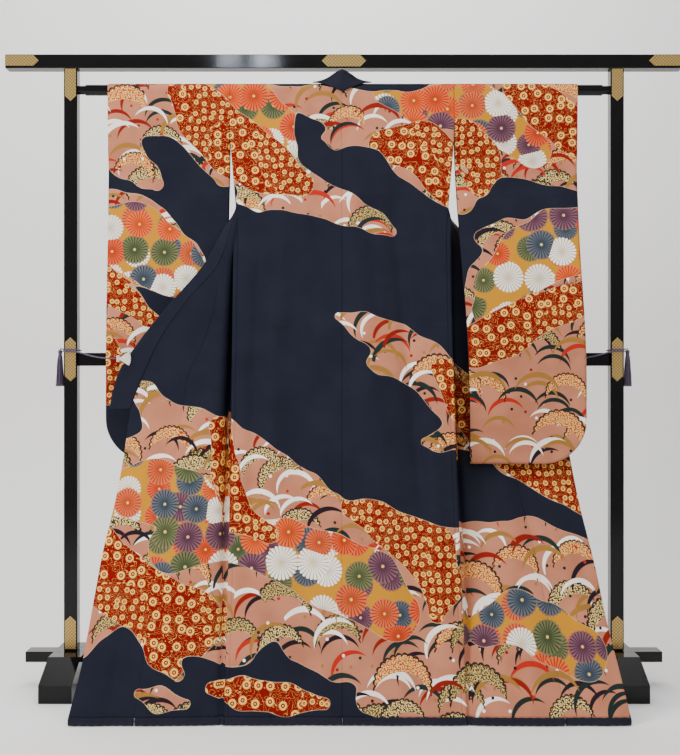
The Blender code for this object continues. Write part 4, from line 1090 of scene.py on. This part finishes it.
def front_drape(side, start, end):
    """The point rule of a front, an overlap or a collar band between two seams."""
    def drape(u, z):
        if z > POLE_Z:
            angle = (z - POLE_Z) * math.pi / 2 * TOP_TURN
            return over_pole(front_point(side, POLE_Z, u, start, end).x, -1, angle)
        point = front_point(side, z, u, start, end)
        point.y += turned_in(u, 0.20) * (1 - ease(*FLAT_SEAMS, z))
        return point
    return drape


def sleeve_drape(side):
    """The point rule of a sleeve, up its near wall, over the pole and down its far one."""
    def drape(u, v):
        facing = 1 if v >= 0 else -1
        rise = abs(v)
        if rise <= 1.0:
            point = sleeve_point(side, u, rise, facing)
            point.y -= facing * folded_once(point.z) * ease(0.0, 0.03, rise) * ease(0.0, CREASE_FADE, 1 - u)
            return point
        return over_pole(sleeve_point(side, u, 1.0, facing).x, facing, (rise - 1.0) * math.pi / 2)
    return drape


POLE_TURNS = [POLE_Z + turn for turn in (0.15, 0.30, 0.45, 0.62, 0.80, 1.0)]
SEWN_Z = HEM_Z - 0.0022               # the hem runs a little way into the roll
body_rows = spread(SEWN_Z, POLE_Z, steps(POLE_Z)) + POLE_TURNS
okumi_rows = spread(SEWN_Z, OKUMI_TOP, steps(OKUMI_TOP))
collar_rows = spread(COLLAR_END_Z, POLE_Z, steps(0.90)) + POLE_TURNS
front_columns = edge_columns(steps(0.26))
climb = [0.0, 0.0008, 0.0024, 0.0048, 0.0080, 0.013, 0.02] + spread(0.025, 1.0, steps(1.03))
turns = [1.15, 1.30, 1.45, 1.62, 1.80]
near_rows = climb + turns
sleeve_rows = near_rows + [2.0] + [-row for row in reversed(near_rows)]
sleeve_rows[-1] = -1e-9               # just behind the seam, not on its near side
sleeve_columns = [0.0, 0.010] + spread(0.02, 0.96, steps(0.34)) + [0.970, 0.980, 0.988, 0.994, 0.998, 1.0]
for side, hand in HANDS:
    mirrored = side < 0
    add_cloth("back_" + hand, edge_columns(steps(0.30)), body_rows, back_drape(side),
              mirrored)
    add_cloth("front_" + hand, front_columns, body_rows, front_drape(side, 0, 1),
              mirrored, dyed_at=[front_print(side, z, u, 0, 1) for z in body_rows for u in front_columns])
    add_cloth("okumi_" + hand, edge_columns(steps(0.15)), okumi_rows, front_drape(side, 1, 2),
              mirrored)
    add_cloth("collar_" + hand, spread(0.0, 1.0, 12), collar_rows, front_drape(side, 2, 3),
              mirrored, thickness=BAND_WALL, outer=navy_silk, lining=navy_silk)
    add_cloth("sleeve_" + hand, sleeve_columns, sleeve_rows, sleeve_drape(side),
              mirrored, weld=True, lining=navy_silk)

# ---------------------------------------------------------------- collar round the neck
# The folded band stands up behind the neck, peaked in the middle where it has been
# creased, and runs down over the shoulders into the front bands.
NECK_RADIUS = CLOTH_RADIUS + 0.0052   # of the band's foot round the pole
NECK_PEAK = 1.7475
NECK_FALL = 0.0200                    # from the peak to the shoulders
NECK_DIP = 0.007                      # of its foot in the middle of the back
RIM_HALF = 0.047


def neck_drape(s, u):
    """A point of the neck band: s runs across and u up."""
    share = abs(s)
    angle = math.pi / 2 * share ** 1.25
    low = place(BODY_X + s * (NECK_HALF - 0.003), NECK_RADIUS * math.cos(angle),
                POLE_Z - NECK_DIP * (1 - share) + NECK_RADIUS * math.sin(angle))
    high = place(BODY_X + RIM_HALF * s, lerp(0.026, -0.020, share ** 1.5),
                 NECK_PEAK - NECK_FALL * share ** 1.1)
    return low.lerp(high, u)


add_cloth("collar_neck", spread(-1.0, 1.0, 60), spread(0.0, 1.0, 12), neck_drape,
          thickness=BAND_WALL, outer=navy_silk, lining=navy_silk)

# ---------------------------------------------------------------- padded hem
# Wadding rolled in the navy lining makes the trailing hem heavy; the roll is drawn in
# a little at each row of tacking, so it is never quite even.
def hem_path(kind, side, t):
    """A place along one of the six strips of roll."""
    if kind == "back":
        edge = side_x(side, HEM_Z)
        return back_point(lerp(BODY_X + side * 0.0002, edge + side * SEAM_LAP, t), HEM_Z)
    if kind == "front":
        return front_point(side, HEM_Z, lerp(0.035, 0.990, t), 0, 1)
    return front_point(side, HEM_Z, lerp(0.012, 1.0, t), 1, 2)


def level_ring(centre, radius, count):
    """Points of a level circle."""
    return [(centre[0] + radius * math.cos(math.tau * i / count),
             centre[1] + radius * math.sin(math.tau * i / count), centre[2]) for i in range(count)]


def skin(rings):
    """Points and faces of a closed tube over a run of rings."""
    count = len(rings[0])
    faces = [tuple((j + up) * count + (i + on) % count for up, on in ((0, 0), (0, 1), (1, 1), (1, 0)))
             for j in range(len(rings) - 1) for i in range(count)]
    faces += [tuple(range(count))[::-1], tuple((len(rings) - 1) * count + i for i in range(count))]
    return [point for ring in rings for point in ring], faces


def outward_mesh(name, points, faces):
    """A smooth mesh with its faces turned outwards."""
    mesh = bpy.data.meshes.new(name)
    mesh.from_pydata(points, [], faces)
    rework(mesh, lambda cloth: bmesh.ops.recalc_face_normals(cloth, faces=cloth.faces))
    mesh.shade_smooth()
    return mesh


TACK_PITCH = 0.021
TACK_DEPTH = 0.00045
ROLL_TURNS = 18
ROLL_STATIONS = 90
ROLL_SLACK = 0.0002                   # how far the roll stays inside its full radius
ROLL_ENDS = (0.965, 0.035, 0.003)     # share of the radius at an end, the rest, and its run
for kind in ("back", "front", "okumi"):
    for side, hand in HANDS:
        node = f"hem_roll_{kind}_{hand}"
        path = [hem_path(kind, side, share) for share in spread(0.0, 1.0, ROLL_STATIONS)]
        run = np.concatenate([[0.0], np.cumsum([(b - a).length for a, b in zip(path, path[1:])])])
        rings = []
        for k, spot in enumerate(path):
            ahead = path[min(k + 1, ROLL_STATIONS)] - path[max(k - 1, 0)]
            across = Vector((ahead.y, -ahead.x, 0)).normalized()
            end = min(run[k], run[-1] - run[k])
            tack = TACK_DEPTH * (math.cos(math.tau * run[k] / TACK_PITCH) - 1)
            swell = ROLL_ENDS[0] + ROLL_ENDS[1] * math.sqrt(min(1.0, end / ROLL_ENDS[2]))
            radius = (ROLL_RADIUS + tack - ROLL_SLACK) * swell
            rings.append([(spot.x + across.x * radius * math.cos(angle),
                           spot.y + across.y * radius * math.cos(angle),
                           ROLL_RADIUS + 0.0001 + radius * math.sin(angle))
                          for angle in spread(0.0, math.tau, ROLL_TURNS)[:-1]])
        points, faces = skin(rings)
        mesh = outward_mesh("padded_" + node, points, faces)
        dye(mesh, [(x, z) for x, y, z in points])
        mesh.materials.append(navy_silk)
        roll = new_object("padded_" + node, mesh)
        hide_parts(node)
        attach(roll, "root")

# ---------------------------------------------------------------- clips and cords
# A small fluted fan clip of white plastic grips each collar's rim; a twisted purple cord
# runs from its barrel to the post, round it and down into a tassel.
def node_box(node):
    """Lowest and highest corner of a node's mesh."""
    corners = mesh_points(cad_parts[node].data)
    return corners.min(axis=0), corners.max(axis=0)


def joined(name, parts):
    """One mesh from several skins, with each point's mark stored for its material."""
    points, faces, marks = [], [], []
    for skin_points, skin_faces, skin_marks in parts:
        faces += [tuple(len(points) + i for i in face) for face in skin_faces]
        points += skin_points
        marks += skin_marks
    mesh = outward_mesh(name, points, faces)
    mesh.attributes.new("mark", "FLOAT", "POINT").data.foreach_set("value", marks)
    return mesh


def marked_skin(rings, marks):
    """A closed skin whose rings carry a mark each."""
    points, faces = skin(rings)
    return points, faces, [mark for mark in marks for _ in rings[0]]


def dress(parts, node, material):
    """Let a rigid detailed piece, joined from its skins, stand for its node."""
    mesh = joined("made_" + node, parts)
    mesh.materials.append(material)
    piece = new_object("made_" + node, mesh)
    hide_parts(node)
    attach(piece, "root")


shell_white, tree, shader = new_material("white_clip")
cloudy = noise(object_place(tree), 140.0, 3.0)
nacre = blend(cloudy, (0.62, 0.58, 0.47, 1), (0.84, 0.81, 0.72, 1))
wire(shader, Base_Color=blend(attribute(tree, "mark"), nacre, (0.20, 0.13, 0.06, 1)),
     Roughness=plus(times(cloudy, 0.2), 0.25))

FAN_REACH = 0.036
FAN_HALF = math.radians(33)
FAN_RIBS = 7
FAN_ROOT = 0.004
FAN_NOTCH = 0.045                     # how far the rim falls back between two ribs, as a share
JAW_GAP = 0.0048
JAW_HALF = 0.0008
RIB_HEIGHT = 0.0011
BARREL = 0.0055
BARREL_LENGTH = 0.018
BARREL_MARK = 0.3
BARREL_SHAPE = [  # share of the half length, share of the radius
    (-1.0, 0.80), (-0.96, 0.94), (-0.90, 1.0), (0.90, 1.0), (0.96, 0.94), (1.0, 0.80),
]
FAN_STATIONS = 84
ROUND = 24                            # points round a barrel or a tassel's head
for side, hand in HANDS:
    low, high = node_box("clip_" + hand)
    barrel_x = (low[0] if side < 0 else high[0]) - side * BARREL
    middle_y = (low[1] + high[1]) / 2
    middle_z = (low[2] + high[2]) / 2
    parts = []
    for facing in (-1, 1):
        rings, grooves = [], []
        for k in range(FAN_STATIONS + 1):
            angle = lerp(-FAN_HALF, FAN_HALF, k / FAN_STATIONS)
            ridge = abs(math.sin(math.pi * FAN_RIBS * k / FAN_STATIONS)) ** 0.6
            grooves.append(max(0.0, 1 - 3.0 * ridge))
            ring = []
            for height, ends in ((1, (FAN_ROOT, FAN_REACH)), (-1, (FAN_REACH, FAN_ROOT))):
                for reach in spread(*ends, 6):
                    out = min(reach, FAN_REACH * (0.955 + FAN_NOTCH * ridge))
                    rise = height * JAW_HALF + (height > 0) * RIB_HEIGHT * ridge * reach / FAN_REACH
                    ring.append((barrel_x - side * out * math.cos(angle),
                                 middle_y + facing * (JAW_GAP + rise), middle_z + out * math.sin(angle)))
            rings.append(ring)
        parts.append(marked_skin(rings, grooves))
    barrel = [level_ring((barrel_x, middle_y, middle_z + share * BARREL_LENGTH / 2), BARREL * wide, ROUND)
              for share, wide in BARREL_SHAPE]
    parts.append(marked_skin(barrel, [BARREL_MARK] * len(barrel)))
    dress(parts, "clip_" + hand, shell_white)

twisted, tree, shader = new_material("purple_cord", Roughness=0.7, Sheen_Weight=0.2)
twist = add_node(tree, "ShaderNodeTexWave", {"Vector": object_place(tree), "Scale": 160.0, "Distortion": 1.0},
                 bands_direction="DIAGONAL").outputs["Fac"]
wire(shader, Base_Color=blend(twist, (0.045, 0.026, 0.060, 1), (0.125, 0.082, 0.155, 1)))
emboss(shader, twist, 0.7, 0.0006)
for _, hand in HANDS:
    give_material("cord_" + hand, twisted)

# ---------------------------------------------------------------- tassels
# Each cord is tied into a bound head, from which a skirt of loose purple silk strands
# hangs; the strands differ a little in shade, length and wave.
strand_silk, tree, shader = new_material("tassel_silk", Roughness=0.6, Sheen_Weight=0.2)
wire(shader, Base_Color=blend(attribute(tree, "mark"), (0.020, 0.011, 0.030, 1), (0.100, 0.064, 0.125, 1)))

HEAD = [  # radius, drop below the top
    (0.0006, 0.0000), (0.0034, 0.0010), (0.0054, 0.0030), (0.0062, 0.0060), (0.0057, 0.0095),
    (0.0047, 0.0120), (0.0055, 0.0130), (0.0047, 0.0140), (0.0055, 0.0150), (0.0047, 0.0160),
    (0.0060, 0.0180), (0.0073, 0.0240), (0.0060, 0.0265),
]
SKIRT_TOP = 0.022                     # strands are rooted this far below the head's top
SKIRT_INPUTS = [  # name, type, value
    ("Strands", "Int", 96), ("Length", "Float", 0.08), ("Root Radius", "Float", 0.0062),
    ("Tip Radius", "Float", 0.0118), ("Strand Radius", "Float", 0.00058), ("Wave", "Float", 0.0007),
    ("Uneven", "Float", 0.05), ("Silk", "Material", None),
]
GOLDEN_ANGLE = 2.39996
PHASES = 6.28                         # a full turn of the strands' waves
WAVE_TURN = 9.0                       # radians of wave from root to tip
FLARE_POWER = 0.7
STRAND_POINTS = 10
STRAND_SIDES = 5


def skirt_tree():
    """Hanging strands: a spiral of points, each carrying a line that flares and waves."""
    tree = bpy.data.node_groups.new("tassel_skirt", "GeometryNodeTree")
    for name, kind, value in SKIRT_INPUTS:
        made = tree.interface.new_socket(name, in_out="INPUT", socket_type="NodeSocket" + kind)
        if value is not None:
            made.default_value = value
    tree.interface.new_socket("Geometry", in_out="OUTPUT", socket_type="NodeSocketGeometry")
    start = tree.nodes.new("NodeGroupInput").outputs

    def grow(kind, inputs=None, **settings):
        return add_node(tree, "GeometryNode" + kind, inputs, **settings).outputs[0]

    def random(low, high, seed):
        return add_node(tree, "FunctionNodeRandomValue", {2: low, 3: high, "Seed": seed},
                        data_type="FLOAT").outputs[1]

    def named(name):
        return grow("InputNamedAttribute", {"Name": name}, data_type="FLOAT")

    spots = grow("Points", {"Count": start["Strands"]})
    order = grow("InputIndex")
    share = calc("SQRT", calc("DIVIDE", plus(order, 0.5), start["Strands"]))
    for name, value in (("share", share), ("turn", times(order, GOLDEN_ANGLE)), ("mark", random(0.0, 1.0, 3)),
                        ("fall", random(0.0, 1.0, 8)), ("phase", random(0.0, PHASES, 5))):
        spots = grow("StoreNamedAttribute", {"Geometry": spots, "Name": name, "Value": value},
                     data_type="FLOAT", domain="POINT")
    line = grow("CurvePrimitiveLine", {"End": (0.0, 0.0, -1.0)}, mode="POINTS")
    fine = grow("ResampleCurve", {"Curve": line, "Count": STRAND_POINTS})
    loose = grow("RealizeInstances", {0: grow("InstanceOnPoints", {"Points": spots, "Instance": fine})})

    down = add_node(tree, "GeometryNodeSplineParameter").outputs["Factor"]
    flare = times(minus(start["Tip Radius"], start["Root Radius"]), calc("POWER", down, FLARE_POWER))
    wave = calc("SINE", plus(times(down, WAVE_TURN), named("phase")))
    wave = times(times(wave, down), start["Wave"])
    reach = plus(times(plus(start["Root Radius"], flare), named("share")), wave)
    shorter = minus(1.0, times(named("fall"), start["Uneven"]))
    drop = times(times(down, shorter), start["Length"])
    where = add_node(tree, "ShaderNodeCombineXYZ", {0: times(reach, calc("COSINE", named("turn"))),
                                                    1: times(reach, calc("SINE", named("turn"))),
                                                    2: times(drop, -1.0)})
    bent = grow("SetPosition", {"Geometry": loose, "Position": where.outputs[0]})
    ring = grow("CurvePrimitiveCircle", {"Resolution": STRAND_SIDES, "Radius": start["Strand Radius"]})
    tubes = grow("CurveToMesh", {"Curve": bent, "Profile Curve": ring, "Fill Caps": True})
    dyed = grow("SetMaterial", {"Geometry": grow("RealizeInstances", {0: tubes}), "Material": start["Silk"]})
    link(dyed, tree.nodes.new("NodeGroupOutput").inputs[0])
    return tree


tassel_skirt = skirt_tree()
sockets = {item.name: item.identifier for item in tassel_skirt.interface.items_tree if item.in_out == "INPUT"}
for _, hand in HANDS:
    low, high = node_box("tassel_" + hand)
    middle = ((low[0] + high[0]) / 2, (low[1] + high[1]) / 2)
    empty = bpy.data.meshes.new("skirt_" + hand)
    grown = new_object("skirt_" + hand, empty)
    growth = grown.modifiers.new("strands", "NODES")
    growth.node_group = tassel_skirt
    growth[sockets["Length"]] = float(high[2] - low[2] - SKIRT_TOP)
    growth[sockets["Silk"]] = strand_silk
    skirt = evaluated_mesh(grown)
    points = [(vertex.co.x + middle[0], vertex.co.y + middle[1], vertex.co.z + high[2] - SKIRT_TOP)
              for vertex in skirt.vertices]
    faces = [tuple(polygon.vertices) for polygon in skirt.polygons]
    marks = [value.value for value in skirt.attributes["mark"].data]
    bpy.data.objects.remove(grown)
    bpy.data.meshes.remove(empty)
    head = [level_ring((*middle, high[2] - drop), radius, ROUND) for radius, drop in HEAD]
    bands = [0.35 + 0.4 * (k % 2) for k in range(len(HEAD))]
    dress([marked_skin(head, bands), (points, faces, marks)], "tassel_" + hand, strand_silk)
